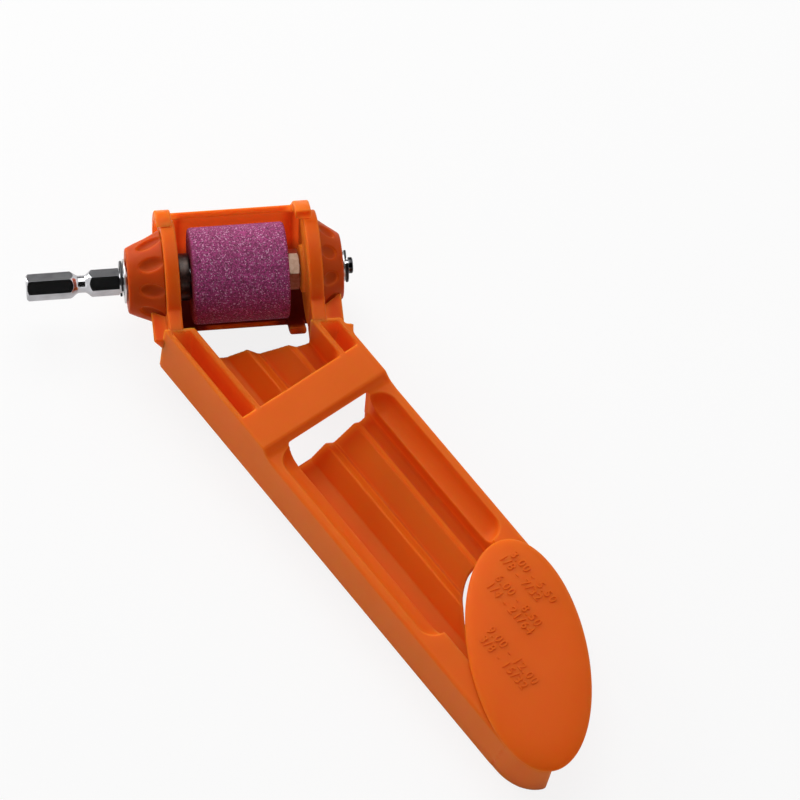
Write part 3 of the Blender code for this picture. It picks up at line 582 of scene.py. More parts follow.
def orange_plastic(name, translucency, depth=0.0, glow=1.0, shaded=False):
    """Satin plastic that lets some light through: faint clouds, a fine mould texture, a deeper colour of painted
    shade where it is a little closed in, a brighter one of painted light in deep recesses, where a faint painted
    glow stands for the light through thin walls, paler edges of painted highlight and a darker copy by depth, a
    painted shade. A shaded one is dark in its recesses near the floor."""
    finish = Finish(name)
    where = finish.coordinates()
    clouds = finish.noise(where, 0.018, 3)
    grain = finish.noise(where, 0.00035)
    nook = finish.mark("nook")
    colour = finish.mix(clouds, BODY_ORANGE, CLOUD_ORANGE)
    # Painted shade: a deeper colour where the skin is a little closed in
    colour = finish.mix(finish.between(nook, 0, 0.35), colour, NOOK_SHADE_ORANGE)
    # Painted light: a brighter colour in deep recesses
    colour = finish.mix(finish.between(nook, 0.35, 0.8), colour, RECESS_LIGHT_ORANGE)
    # Painted highlight: a paler colour on thin edges
    colour = finish.mix(finish.mark("edge") * 0.25, colour, EDGE_HIGHLIGHT_ORANGE)
    # Painted shade: a darker copy of the plastic, by depth
    colour = finish.mix(depth, colour, DEEP_SHADE_ORANGE)
    # Painted light: an orange glow from deep recesses, standing for the light through thin walls
    light = finish.mix(finish.between(nook, 0.3, 0.8), DARK, GLOW_ORANGE)
    if shaded:
        top, bottom = (MM * height for height in SHADE_HEIGHTS)
        low = finish.between(finish.along(where, (0, 0, 1)), top, bottom) * finish.between(nook, 0.1, 0.4)
        colour = finish.mix(low, colour, SHADE_ORANGE)
        light = finish.mix(low, light, DARK)
    roughness = 0.36 + 0.12 * clouds + 0.06 * grain
    relief = finish.bump(grain, 0.00003, 0.35)
    return finish.paint(Base_Color=colour, Roughness=roughness, Normal=relief, IOR=1.5,
                        Specular_IOR_Level=0.05, Emission_Color=light, Emission_Strength=glow,
                        Subsurface_Weight=translucency, Subsurface_Radius=(1.0, 0.55, 0.2),
                        Subsurface_Scale=0.005)


def spindle_steel():
    """Bright plated bar with fine turning lines, a few darker blotches and a black tip past the far clip."""
    finish = Finish("plated_steel")
    where = finish.coordinates()
    lines = finish.rings(where, 0.00011)
    blotches = finish.noise(where, 0.004, 4)
    colour = finish.mix(finish.between(blotches, 0.35, 0.75), (0.58, 0.58, 0.60, 1), (0.40, 0.40, 0.42, 1))
    end = float(HEAD_ORIGIN @ ALONG) + MM * extent("far_clip")[1]
    past_clip = finish.between(finish.along(where, ALONG), end, end + MM / 2)
    colour = finish.mix(past_clip, colour, (0.03, 0.03, 0.032, 1))
    roughness = 0.10 + 0.10 * blotches + 0.04 * lines
    relief = finish.bump(lines, 0.000004, 0.5)
    return finish.paint(Base_Color=colour, Roughness=roughness, Metallic=1.0, Normal=relief)


def pink_corundum():
    """Bonded abrasive: packed fine grains of several pinks, pits between them with painted shade and many tiny
    painted glints.
    """
    finish = Finish("pink_corundum")
    where = finish.coordinates()
    grains = finish.cells(where, 0.00027)
    tone = finish.along(grains, (1, 0, 0))
    glint = finish.between(finish.along(grains, (0, 1, 0)), 0.84, 1.0)
    pits = finish.noise(where, 0.0006, 4, 0.7)
    patches = finish.noise(where, 0.006)
    colour = finish.mix(tone, (0.10, 0.004, 0.042, 1), (0.50, 0.052, 0.240, 1))
    colour = finish.mix(finish.between(patches, 0.4, 0.7) * 0.35, colour, (0.20, 0.018, 0.085, 1))
    # Painted glint: bright specks painted into the colour, where the grain is also glossier
    colour = finish.mix(glint * 0.8, colour, (0.85, 0.46, 0.68, 1))
    # Painted shade: a near-black colour in the pits
    colour = finish.mix(finish.between(pits, 0.48, 0.30), colour, (0.05, 0.003, 0.012, 1))
    relief = finish.bump(tone * 0.4 + pits, 0.00022, 0.8)
    return finish.paint(Base_Color=colour, Roughness=0.8 - 0.4 * glint, Normal=relief)


def black_steel(name, worn):
    """Blackened steel with a thin oily gloss, rubbed to a worn colour here and there."""
    finish = Finish(name)
    where = finish.coordinates()
    rubbed = finish.noise(where, 0.0025, 4, 0.6)
    colour = finish.mix(finish.between(rubbed, 0.4, 0.8), (0.012, 0.012, 0.013, 1), worn)
    relief = finish.bump(rubbed, 0.00002, 0.4)
    return finish.paint(Base_Color=colour, Roughness=0.28 + 0.2 * rubbed, Metallic=0.6, Normal=relief)


def zinc_steel(name, dull, pale, roughness):
    """Zinc plate: metal with a faint crystalline cloud between two colours and fine scratches."""
    finish = Finish(name)
    where = finish.coordinates()
    tone = finish.along(finish.cells(where, 0.0009), (1, 0, 0))
    scratches = finish.noise(where, 0.0004, 3)
    colour = finish.mix(tone, dull, pale)
    relief = finish.bump(scratches, 0.00001, 0.4)
    roughness = roughness + 0.14 * scratches
    return finish.paint(Base_Color=colour, Roughness=roughness, Metallic=1.0, Normal=relief)


def bearing_steel():
    """Ground bearing steel with faint grinding lines round the axis."""
    finish = Finish("bearing_steel")
    where = finish.coordinates()
    lines = finish.rings(where, 0.00016)
    film = finish.noise(where, 0.002, 3)
    colour = finish.mix(film, (0.55, 0.55, 0.57, 1), (0.66, 0.66, 0.67, 1))
    relief = finish.bump(lines, 0.000004, 0.5)
    return finish.paint(Base_Color=colour, Roughness=0.16 + 0.12 * film, Metallic=1.0, Normal=relief)


# Trough handle

def plate_axes(x, y):
    """A place along and across the thumb plate's long axis, from one across and along the handle, both seen
    from the plate's middle. The same sum turns it back."""
    return (x * math.sin(PLATE_TURN) + y * math.cos(PLATE_TURN),
            x * math.cos(PLATE_TURN) - y * math.sin(PLATE_TURN))


def oval_field(x, y, long, short):
    """Oval turned like the thumb plate."""
    return ellipsoid(plate_axes(x, y), (long, short))


def floor_height(x, ridge=0.3):
    """Height of the grooved floor: straight runs between its corners, averaged over a ridge's roundness."""
    shifts = np.linspace(-ridge, ridge, 7)
    return sum(np.interp(x + shift, FLOOR_X, FLOOR_Z) for shift in shifts) / len(shifts)


def floor_field(x, z):
    """Distance above the grooved floor: the height over it times the cosine of its slant."""
    step = 0.05
    slant = (floor_height(x + step) - floor_height(x - step)) / (2 * step)
    return (z - floor_height(x)) / np.sqrt(1 + slant ** 2)


def head_end(x, y):
    """Distance past the slanted head end."""
    return x * math.sin(TURN) + (y - AXIS_CROSSING) * math.cos(TURN) + END_SETBACK


def outer_block(x, y, z):
    """The handle's outside: straight drafted walls, a tail that follows the plate and leans in, the slanted
    head end and tops that step down at the bridge's slanted front."""
    deep = -z / DEPTH
    half = HALF_WIDTH + DRAFT * deep
    long = PLATE_LONG - TAIL_LEAN * deep
    widest = np.sqrt((long * math.sin(PLATE_TURN)) ** 2 + (PLATE_SHORT * math.cos(PLATE_TURN)) ** 2)
    side_x = x * widest / half
    from_plate = y - PLATE_Y
    lowest = (long ** 2 - PLATE_SHORT ** 2) * math.sin(PLATE_TURN) * math.cos(PLATE_TURN) / widest
    ahead = (side_x * lowest - from_plate * widest) / np.hypot(lowest, widest)
    tail = np.minimum(oval_field(side_x, from_plate, long, PLATE_SHORT), ahead)
    plan = both(np.abs(x) - half, tail, SOFT)
    plan = both(plan, head_end(x, y), SOFT)
    slant = np.hypot(BRIDGE_SLANT, LOWER_STEP)
    front = (-LOWER_STEP * (y + BRIDGE_LENGTH) + BRIDGE_SLANT * z) / slant
    top = either(z + LOWER_STEP, both(z, front, SOFT), ROUND)
    lower = np.clip((BRIDGE_FRONT - y) / 3, 0, 1)
    solid = both(plan, top, SOFT + ROUND * lower)
    return both(solid, -DEPTH - z, SOFT)


def wall_flare(x, y, z):
    """Small three-cornered flare on the right wall's outer face, next to its head end."""
    wall = HALF_WIDTH - WALL / 2
    end = AXIS_CROSSING - HALF_WIDTH * math.tan(TURN) - END_SETBACK / math.cos(TURN)
    first, tip = (wall, end - FLARE_REACH), (HALF_WIDTH + FLARE_REACH, end - 2 * FLARE_REACH)
    last = (wall, end - FLARE_LENGTH)
    plan = both(both(beside(x, y, first, tip), beside(x, y, tip, last), CRISP), wall - x, CRISP)
    return both(plan, slab(z, -FLARE_DEPTH, -GAP), CRISP)


def trough_field(x, y, z):
    """The handle without its head and plate: the outer block less the channel, the relief under its floor,
    the window, the pockets, the scoops, the hollows, the openings at the plate and the tail past the plate's
    long axis."""
    solid = outer_block(x, y, z)
    floor = floor_field(x, z)
    channel = both(np.abs(x) - CHANNEL_HALF, -floor, ROUND)
    solid = without(solid, both(channel, -y, CRISP), SOFT)
    solid = without(solid, both(channel, slab(y, PLATE_Y, BRIDGE_FRONT - WINDOW_LAP / 2), CRISP), SOFT)
    under = both(floor + FLOOR, slab(x, FLOOR_X[1], CHANNEL_HALF), SOFT)
    solid = without(solid, both(under, PLATE_Y - y, SOFT), SOFT)
    for half, front in ((CHANNEL_HALF, BRIDGE_FRONT - WINDOW_LAP), (POCKET_OUTER, BRIDGE_FRONT + WALL)):
        window = ((-half, half), (front, WINDOW_LAP), (-2 * DEPTH, -BRIDGE_THICKNESS))
        solid = without(solid, block(x, y, z, window, ROUND), SOFT)
    ends = both(-y, head_end(x, y) + WALL, CRISP)
    pocket = both(slab(np.abs(x), POCKET_INNER, POCKET_OUTER), ends, CRISP)
    solid = without(solid, both(pocket, POCKET_FLOOR - DEPTH - z, SOFT), CRISP)
    length = np.where(x > 0, RIGHT_SCOOP_LENGTH, LEFT_SCOOP_LENGTH)
    centre = BRIDGE_FRONT - SCOOP_START - SCOOP_RADIUS
    past = y - np.clip(y, centre - length + 2 * SCOOP_RADIUS, centre)
    scoop = np.sqrt((np.abs(x) - CHANNEL_HALF) ** 2 + past ** 2 + (z + LOWER_STEP) ** 2) - SCOOP_RADIUS
    solid = without(solid, scoop, SOFT)
    length = np.where(x > 0, RIGHT_HOLLOW_LENGTH, LEFT_HOLLOW_LENGTH)
    start = BRIDGE_FRONT - HOLLOW_START
    roof = -LOWER_STEP - SCOOP_RADIUS - SCOOP_ROOF
    ends = np.maximum(y - start, start - length - y)
    hollow = both(slab(np.abs(x), POCKET_INNER, POCKET_OUTER), ends, ROUND)
    solid = without(solid, both(hollow, z - roof, ROUND), SOFT)
    lean = TAIL_LEAN * -z / DEPTH
    long, short = PLATE_LONG - TAIL_WALL, PLATE_SHORT - TAIL_WALL
    solid = without(solid, oval_field(x, y - PLATE_Y, long - lean, short), SOFT)
    widest = math.hypot(long * math.sin(PLATE_TURN), short * math.cos(PLATE_TURN))
    narrow = (CHANNEL_HALF - GAP) / widest
    solid = without(solid, oval_field(x / narrow, y - PLATE_Y - HOLE_HEADROOM, long, short), SOFT)
    across = plate_axes(x, y - PLATE_Y)[1]
    solid = without(solid, both(TAIL_WALL_END - across, y - RIGHT_WALL_END, ROUND), ROUND)
    return either(solid, wall_flare(x, y, z), SOFT)


def handle_trough(finish):
    """The trough with its walls, ribs, grooved floor, bridge, pockets and scoops."""
    half = HALF_WIDTH + DRAFT + MARGIN
    axes = (spaced((-half, half, TROUGH_GRID)),
            spaced((PLATE_Y - PLATE_LONG - MARGIN, PLAIN_START, TAIL_GRID),
                   (PLAIN_START, PLAIN_END, PLAIN_GRID), (PLAIN_END, TROUGH_END, TROUGH_GRID)),
            spaced((-DEPTH - MARGIN, MARGIN, TROUGH_GRID)))
    return add_level("handle_trough", trough_field, axes, from_handle, HANDLE_AXES, finish, "handle",
                     ["handle_body"])


def plate_top(share):
    """Height of the plate's top: with s the share of the way out to the rim, the plate's rise times the
    square root of 1 - s to a power, a flat dome that rolls over into an upright rim."""
    return PLATE_EDGE + PLATE_RISE * np.sqrt(np.maximum(1 - share ** PLATE_POWER, 0))


def thumb_plate(finish):
    """Domed oval plate: ovals that grow from the dome's middle to the rim, then the rim and the underside."""
    low = -LOWER_STEP - PLATE_LAP
    turn = np.linspace(0, np.pi / 2, 48)
    dome = np.sin(turn) ** (2 / PLATE_POWER)
    sides = np.linspace(0, 1, 5)[1:]
    under = np.linspace(1, 0, 8)[1:]
    inset = np.concatenate([0 * dome, PLATE_UNDERCUT * sides ** 2, PLATE_UNDERCUT + 0 * under])
    scale = np.concatenate([dome, 1 + 0 * sides, under])
    height = np.concatenate([plate_top(dome), PLATE_EDGE + (low - PLATE_EDGE) * sides, low + 0 * under])
    angle = np.linspace(0, 2 * np.pi, 160, endpoint=False)[None, :]
    along = ((PLATE_LONG - inset) * scale)[:, None] * np.cos(angle)
    across = ((PLATE_SHORT - inset) * scale)[:, None] * np.sin(angle)
    x, y = plate_axes(along, across)
    points = np.stack([x, PLATE_Y + y, np.broadcast_to(height[:, None], x.shape)], 2).reshape(-1, 3)
    # An even nook value gives the whole plate a little of the painted shade colour
    marks = {"nook": np.full(len(points), 0.12), "edge": np.zeros(len(points))}
    faces = grid_faces(len(height), angle.size)
    piece = add_piece("thumb_plate", from_handle(points), faces, finish, "handle",
                      ["handle_body"], marks=marks)
    return close_seams(piece, 60)


def figure_row(text):
    """Points and faces of a row of plain figures, made a mesh, scaled to the figures' height and relief."""
    curve = bpy.data.curves.new("figures", "FONT")
    curve.body = text
    curve.space_character = FIGURE_SPACING
    curve.extrude = 0.1
    curve.bevel_depth = 0.012
    writing = bpy.data.objects.new("figures", curve)
    bpy.context.scene.collection.objects.link(writing)
    mesh = bpy.data.meshes.new_from_object(writing.evaluated_get(bpy.context.evaluated_depsgraph_get()))
    points = mesh_points(mesh)
    faces = [tuple(polygon.vertices) for polygon in mesh.polygons]
    bpy.data.objects.remove(writing)
    bpy.data.curves.remove(curve)
    bpy.data.meshes.remove(mesh)
    low, high = points.min(0), points.max(0)
    size = FIGURE_HEIGHT / (high - low)[1]
    return (points - low) * (size, size, 2 * FIGURE_RELIEF / (high - low)[2]), faces


def plate_figures(finish):
    """Raised figures on the plate: each row runs toward the tail and lies on the dome, half sunk in it."""
    points, faces = [], []
    for middle, start, text in ROWS:
        row, row_faces = figure_row(text)
        offset = sum(len(part) for part in points)
        x = middle - FIGURE_HEIGHT / 2 + row[:, 1]
        y = start - row[:, 0]
        along, across = plate_axes(x, y - PLATE_Y)
        share = np.hypot(along / PLATE_LONG, across / PLATE_SHORT)
        points.append(np.stack([x, y, plate_top(share) - FIGURE_RELIEF + row[:, 2]], 1))
        faces += [tuple(corner + offset for corner in face) for face in row_faces]
    points = np.concatenate(points)
    # An even nook value gives the figures a little more painted shade than the plate
    marks = {"nook": np.full(len(points), 0.2), "edge": np.zeros(len(points))}
    piece = add_piece("plate_figures", from_handle(points), faces, finish, "handle",
                      ["handle_body"], marks=marks)
    return close_seams(piece, 30)


# Head

def gusset_field(side, u, y, z):
    """Web outside a flange: below its top, between the wall's end and the spindle, out to a reach that
    shrinks with depth, less the room that the end cap needs."""
    out = side * (u - FLANGES[side][0])
    lean = (out - GUSSET_REACH[side] - GUSSET_TAPER * (z - GUSSET_TOP)) / math.hypot(1, GUSSET_TAPER)
    web = both(both(lean, z - GUSSET_TOP, SOFT), -ARM_LAP - out, CRISP)
    web = both(web, slab(y, -END_SETBACK - ARM_LAP, -GUSSET_INNER), SOFT)
    cone = np.sqrt(y ** 2 + z ** 2) - CAP_RADIUS - GAP / 2 + CAP_TAPER[side] * out
    return without(web, both(cone / math.hypot(1, CAP_TAPER[side]), -out, CRISP), CRISP)


def flange_field(side, u, y, z):
    """Flange disc with its spigot, the arm that carries it and the gusset outside it."""
    radius = np.sqrt(y ** 2 + z ** 2)
    outer, inner = FLANGES[side]
    seat, ring_radius = BEARINGS[side]
    disc = both(radius - FLANGE_RADIUS, slab(u, outer, inner), SOFT)
    foot = AXIS_DROP - DEPTH + ARM_FOOT
    arm = block(u, y, z, ((outer, inner), (-END_SETBACK - ARM_LAP, FLANGE_LIP - FLANGE_RADIUS),
                          (foot, AXIS_DROP)), SOFT)
    solid = either(either(disc, arm, SOFT), gusset_field(side, u, y, z), SOFT)
    spigot = both(radius - ring_radius, slab(u, inner, seat - side * GAP), CRISP)
    solid = both(either(solid, spigot, CRISP), ring_radius - SPIGOT_WALL - radius, CRISP)
    if side < 0:
        return solid
    collar = both(slab(radius, FAR_JOURNAL + GAP, BOSS_RADIUS), slab(u, NUT_END + GAP, outer), CRISP)
    return either(solid, collar, CRISP)


def head_field(u, y, z):
    """Both flanges with all that they carry."""
    return np.minimum(flange_field(-1, u, y, z), flange_field(1, u, y, z))


def handle_head(finish):
    """Flanges, arms and gussets as one moulding."""
    reach = FLANGE_RADIUS + MARGIN
    low = FLANGES[-1][0] - GUSSET_REACH[-1] - MARGIN
    high = FLANGES[1][0] + GUSSET_REACH[1] + MARGIN
    axes = (spaced((low, high, HEAD_GRID)), spaced((-END_SETBACK - ARM_LAP - MARGIN, reach, HEAD_GRID)),
            spaced((-reach, reach, HEAD_GRID)))
    return add_level("handle_head", head_field, axes, from_head, HEAD_AXES, finish, "handle",
                     ["handle_body"], head_room)


def sector(y, z, start, end):
    """Wedge between two angles about the spindle, less than half a turn apart: past the start's half plane
    and short of the end's."""
    after = -y * math.sin(start) - z * math.cos(start)
    before = y * math.sin(end) + z * math.cos(end)
    return np.maximum(after, before)


def guard_field(u, y, z):
    """Guard shell with a strap over each flange's rim, the drive side's thinning out to its start, and a tab
    beside each flange's inner face."""
    radius = np.sqrt(y ** 2 + z ** 2)
    low, high = extent("wheel_guard")[:2]
    inside = FLANGE_RADIUS + GAP / 3
    wall = slab(radius, inside, FLANGE_RADIUS + GAP + GUARD_SHELL)
    shell = both(wall, sector(y, z, SHELL_START, SHELL_END), SOFT)
    solid = both(shell, slab(u, low + GUARD_EDGE_INSET, high - GUARD_EDGE_INSET), SOFT)
    tab = both(wall, sector(y, z, TAB_START, TAB_END), ROUND)
    full = np.clip((np.arctan2(z, -y) % (2 * np.pi) - STRAP_START) / STRAP_TAPER, 0, 1)
    thinned = inside - GAP + (GUARD_OUTER - inside + GAP) * np.sin(full * np.pi / 2)
    for side, start, outer in ((-1, low, thinned), (1, high, GUARD_OUTER)):
        strap = both(np.maximum(inside - radius, radius - outer), sector(y, z, STRAP_START, STRAP_END), SOFT)
        solid = either(solid, both(strap, slab(u, start, start - side * STRAP_WIDTH), SOFT), SOFT)
        near = FLANGES[side][1] - side * GAP
        solid = either(solid, both(tab, slab(u, near, near - side * TAB_WIDTH), ROUND), SOFT)
    return solid


def head_room(u, y, z):
    """The guard, the flanges and the wheel between them, as one field."""
    low, high, _, radius = extent("grinding_wheel")
    wheel = both(np.sqrt(y ** 2 + z ** 2) - radius, slab(u, low, high), SOFT)
    return np.minimum(np.minimum(guard_field(u, y, z), head_field(u, y, z)), wheel)


def wheel_guard(finish):
    """Curved guard that snaps over both flange rims."""
    reach = GUARD_OUTER + MARGIN
    low, high = extent("wheel_guard")[:2]
    axes = (spaced((low - MARGIN, high + MARGIN, HEAD_GRID)), spaced((GUARD_FRONT, reach, HEAD_GRID)),
            spaced((-reach, reach, HEAD_GRID)))
    return add_level("guard", guard_field, axes, from_head, HEAD_AXES, finish, "handle",
                     ["wheel_guard"], head_room)


def end_cap(side, name, node, finish):
    """Fluted cone: its radius falls evenly from base to nose, less a ring of leaf-shaped flutes, each an
    ellipsoid that lies in the cone's skin, and less the bearing seat."""
    base, nose = FLANGES[side][0], CAPS[side][1]
    seat_radius = BEARINGS[side][1] + GAP
    taper = CAP_TAPER[side]
    length = abs(nose - base)
    spread = 2 * np.pi / FLUTES
    sizes = (FLUTE_REACH * length, FLUTE_HALF_WIDTH, FLUTE_DEPTH)

    def field(u, y, z):
        radius = np.sqrt(y ** 2 + z ** 2)
        skin = radius - CAP_RADIUS + taper * (u - CAPS[side][0]) * side
        solid = both(skin / math.hypot(1, taper), slab(u, base, nose), SOFT)
        angle = np.arctan2(z, y) - FLUTE_TURN
        offset = angle - spread * np.round(angle / spread)
        place = (side * (u - base) - FLUTE_MIDDLE * length, radius * np.sin(offset), skin)
        solid = without(solid, ellipsoid(place, sizes), SOFT)
        solid = both(solid, CAP_NOSE_BORE - radius, SOFT)
        seat = both(radius - seat_radius, side * (u - nose) + CAP_NOSE_WALL, CRISP)
        return without(solid, seat, CRISP)

    axes = round_axes(*sorted((base, nose)), CAP_RADIUS, 2 * CAP_GRID, CAP_GRID, CAP_GRID)
    return add_level(name, field, axes, from_head, HEAD_AXES, finish, "handle", [node])


# Turning pieces

def eased_run(start, end, steps=12):
    """Points from one (along, radius) to another: even steps along, the radius eased by a cosine."""
    share = np.linspace(0, 1, steps)
    eased = (1 - np.cos(np.pi * share)) / 2
    along = start[0] + (end[0] - start[0]) * share
    return [*zip(along, start[1] + (end[1] - start[1]) * eased)]


def spindle_stations():
    """Ends of the turned envelope's straight runs, as (along, radius), with an eased groove in the shank."""
    tip, far_tip = extent("spindle")[:2]
    drive_clip, far_clip = extent("drive_clip"), extent("far_clip")
    edge = 0.25
    over = HEX_ACROSS_FLATS / math.sqrt(3) + 0.05
    shank_end = tip + SHANK_LENGTH
    groove = tip + GROOVE_FROM_TIP
    neck = groove + GROOVE_RUN_IN
    rise = neck + GROOVE_FLAT
    drive_seat, far_seat = DRIVE_JOURNAL - CLIP_SEAT_DEPTH, FAR_JOURNAL - CLIP_SEAT_DEPTH
    drive_lip = drive_clip[1] + GAP
    far_lip, far_groove = far_clip[0] - GAP, far_clip[1] + GAP
    shoulder = extent("wheel_collar")[0] - GAP
    nut_end = NUT_END + GAP / 2
    return np.array([
        (tip, 0), (tip, over - SHANK_CHAMFER), (tip + SHANK_CHAMFER, over),
        *eased_run((groove, over), (neck, GROOVE_RADIUS)),
        *eased_run((rise, GROOVE_RADIUS), (rise + GROOVE_RUN_OUT, over)),
        (shank_end - edge, over), (shank_end, over - edge),
        (shank_end, drive_seat), (drive_lip, drive_seat), (drive_lip, DRIVE_JOURNAL),
        (shoulder, DRIVE_JOURNAL), (shoulder, ARBOR_RADIUS),
        (nut_end - edge, ARBOR_RADIUS), (nut_end, ARBOR_RADIUS - edge), (nut_end, FAR_JOURNAL),
        (far_lip, FAR_JOURNAL), (far_lip, far_seat), (far_groove, far_seat), (far_groove, FAR_JOURNAL),
        (far_tip - edge, FAR_JOURNAL), (far_tip, FAR_JOURNAL - edge), (far_tip, 0)])


def spindle_bar(finish):
    """Bar along the spindle: at each place the radius is the lesser of the turned envelope and, along the
    shank, a hexagon's radius, half the flats' distance over the greatest cosine to a flat."""
    stations = spindle_stations()
    split = np.linspace(0, 1, 5)[None, :-1, None]
    runs = stations[:-1, None] + np.diff(stations, axis=0)[:, None] * split
    along, envelope = np.concatenate([runs.reshape(-1, 2), stations[-1:]]).T
    within = np.sin(np.linspace(-1, 1, 17)[:-1] * np.pi / 2) * np.pi / 6
    angle = (np.arange(6)[:, None] * np.pi / 3 + within).ravel()
    flat, other = np.cos(within), np.cos(np.pi / 3 - np.abs(within))
    corner = 0.012
    flat = flat + np.maximum(corner - np.abs(flat - other), 0) ** 2 / (4 * corner)
    hexagon = np.tile(HEX_ACROSS_FLATS / 2 / flat, 6)
    on_shank = (along <= stations[0, 0] + SHANK_LENGTH + 1e-6)[:, None]
    radius = np.where(on_shank, np.minimum(envelope[:, None], hexagon), envelope[:, None])
    turn = angle + HEX_TURN
    points = np.stack([np.broadcast_to(along[:, None], radius.shape), radius * np.cos(turn),
                       radius * np.sin(turn)], 2).reshape(-1, 3)
    piece = add_piece("spindle_bar", from_head(points), grid_faces(len(along), angle.size), finish,
                      "spindle_and_wheel", ["spindle"])
    return close_seams(piece, 25)


def abrasive_wheel(finish):
    """Wheel turned from a section with soft edges, its face made rough by a few hundredths of a millimetre of
    seeded noise along the radius."""
    low, high, bore, radius = extent("grinding_wheel")
    steps = 360
    middle = 130
    rim = radius - WHEEL_EDGE
    turn = np.linspace(0, np.pi / 2, 6)
    edge = np.stack([low + WHEEL_EDGE * (1 - np.cos(turn)), rim + WHEEL_EDGE * np.sin(turn)], 1)
    across = np.linspace(low + WHEEL_EDGE, high - WHEEL_EDGE, middle)[1:-1]
    face = np.stack([across, np.full(middle - 2, radius)], 1)
    far_edge = edge[::-1] * (-1, 1) + (low + high, 0)
    sides = bore + (rim - bore) * np.linspace(0, 1, 4)[:-1]
    section = np.concatenate([np.stack([np.full(3, low), sides], 1), edge, face, far_edge,
                              np.stack([np.full(3, high), sides[::-1]], 1)])
    points = turned_points(section, steps).reshape(len(section), steps, 3)
    rough = np.random.default_rng(5).normal(0, WHEEL_ROUGHNESS, (len(section), steps, 1))
    rough = (rough + np.roll(rough, 1, 1) + np.roll(rough, 1, 0)) / 2
    outside = (section[:, 1] > sides[-1] + 0.5)[:, None, None]
    points[..., 1:] *= 1 + np.where(outside, rough, 0) / radius
    faces = grid_faces(len(section), steps, True)
    piece = add_piece("abrasive_wheel", from_head(points.reshape(-1, 3)), faces, finish, "spindle_and_wheel",
                      ["grinding_wheel"])
    return close_seams(piece, 180)


def wheel_nut(finish):
    """Thin hexagon nut: within three pairs of flats and a cone at each face that takes the corners down."""
    low, high, bore, corner = extent("wheel_nut")
    half = NUT_ACROSS_FLATS / 2
    steep = 1.9

    def field(u, y, z):
        radius = np.sqrt(y ** 2 + z ** 2)
        turns = [NUT_TURN + pair * np.pi / 3 for pair in range(3)]
        flats = [np.abs(y * math.cos(turn) + z * math.sin(turn)) for turn in turns]
        solid = both(np.maximum(np.maximum(flats[0], flats[1]), flats[2]) - half, slab(u, low, high), CRISP)
        beyond = np.maximum(low - u, u - high)
        chamfer = (radius - half - 0.1 + steep * beyond) / math.hypot(1, steep)
        hole = bore - radius + np.maximum(0, 0.5 + beyond) * 0.8
        return both(both(solid, chamfer, 0.1), hole, 0.12)

    axes = round_axes(low, high, corner, margin=0.4, along=0.14, across=0.18)
    return add_level("clamp_nut", field, axes, from_head, HEAD_AXES, finish, "spindle_and_wheel",
                     ["wheel_nut"])


def e_clip(name, node, turn, finish):
    """Flat spring clip: a ring open at its mouth, with three prongs, where its inner radius dips toward the
    shaft at both ends and in the middle."""
    low, high, prong, radius = extent(node)
    relief = radius - (radius - prong) / 2 - 0.25
    limit = np.pi - CLIP_MOUTH / 2
    prong_share = 0.16

    def field(u, y, z):
        distance = np.sqrt(y ** 2 + z ** 2)
        angle = np.arctan2(z, y) - turn - np.pi
        angle = angle - 2 * np.pi * np.round(angle / (2 * np.pi))
        share = np.abs(angle) / limit
        near = np.clip(1 - np.minimum(share, np.abs(1 - share)) / prong_share, 0, 1)
        inner = relief + (prong - relief) * near * near * (3 - 2 * near)
        ring = both(distance - radius, (inner - distance) * 0.8, 0.15)
        mouth = (np.abs(angle) - limit) * distance
        return both(both(ring, mouth, 0.3), slab(u, low, high), 0.18)

    axes = round_axes(low, high, radius, margin=0.4, along=0.1, across=0.13)
    return add_level(name, field, axes, from_head, HEAD_AXES, finish, "spindle_and_wheel",
                     [node])


def ring_piece(name, node, corner, finish, steps=96):
    """Washer or collar turned from a section with rounded corners, where its CAD node is."""
    low, high, inner, outer = extent(node)
    section = rounded_section(((low, inner), (low, outer), (high, outer), (high, inner)), corner)
    points = from_head(turned_points(section, steps))
    piece = add_piece(name, points, grid_faces(len(section), steps, True), finish, "spindle_and_wheel",
                      [node])
    return close_seams(piece)


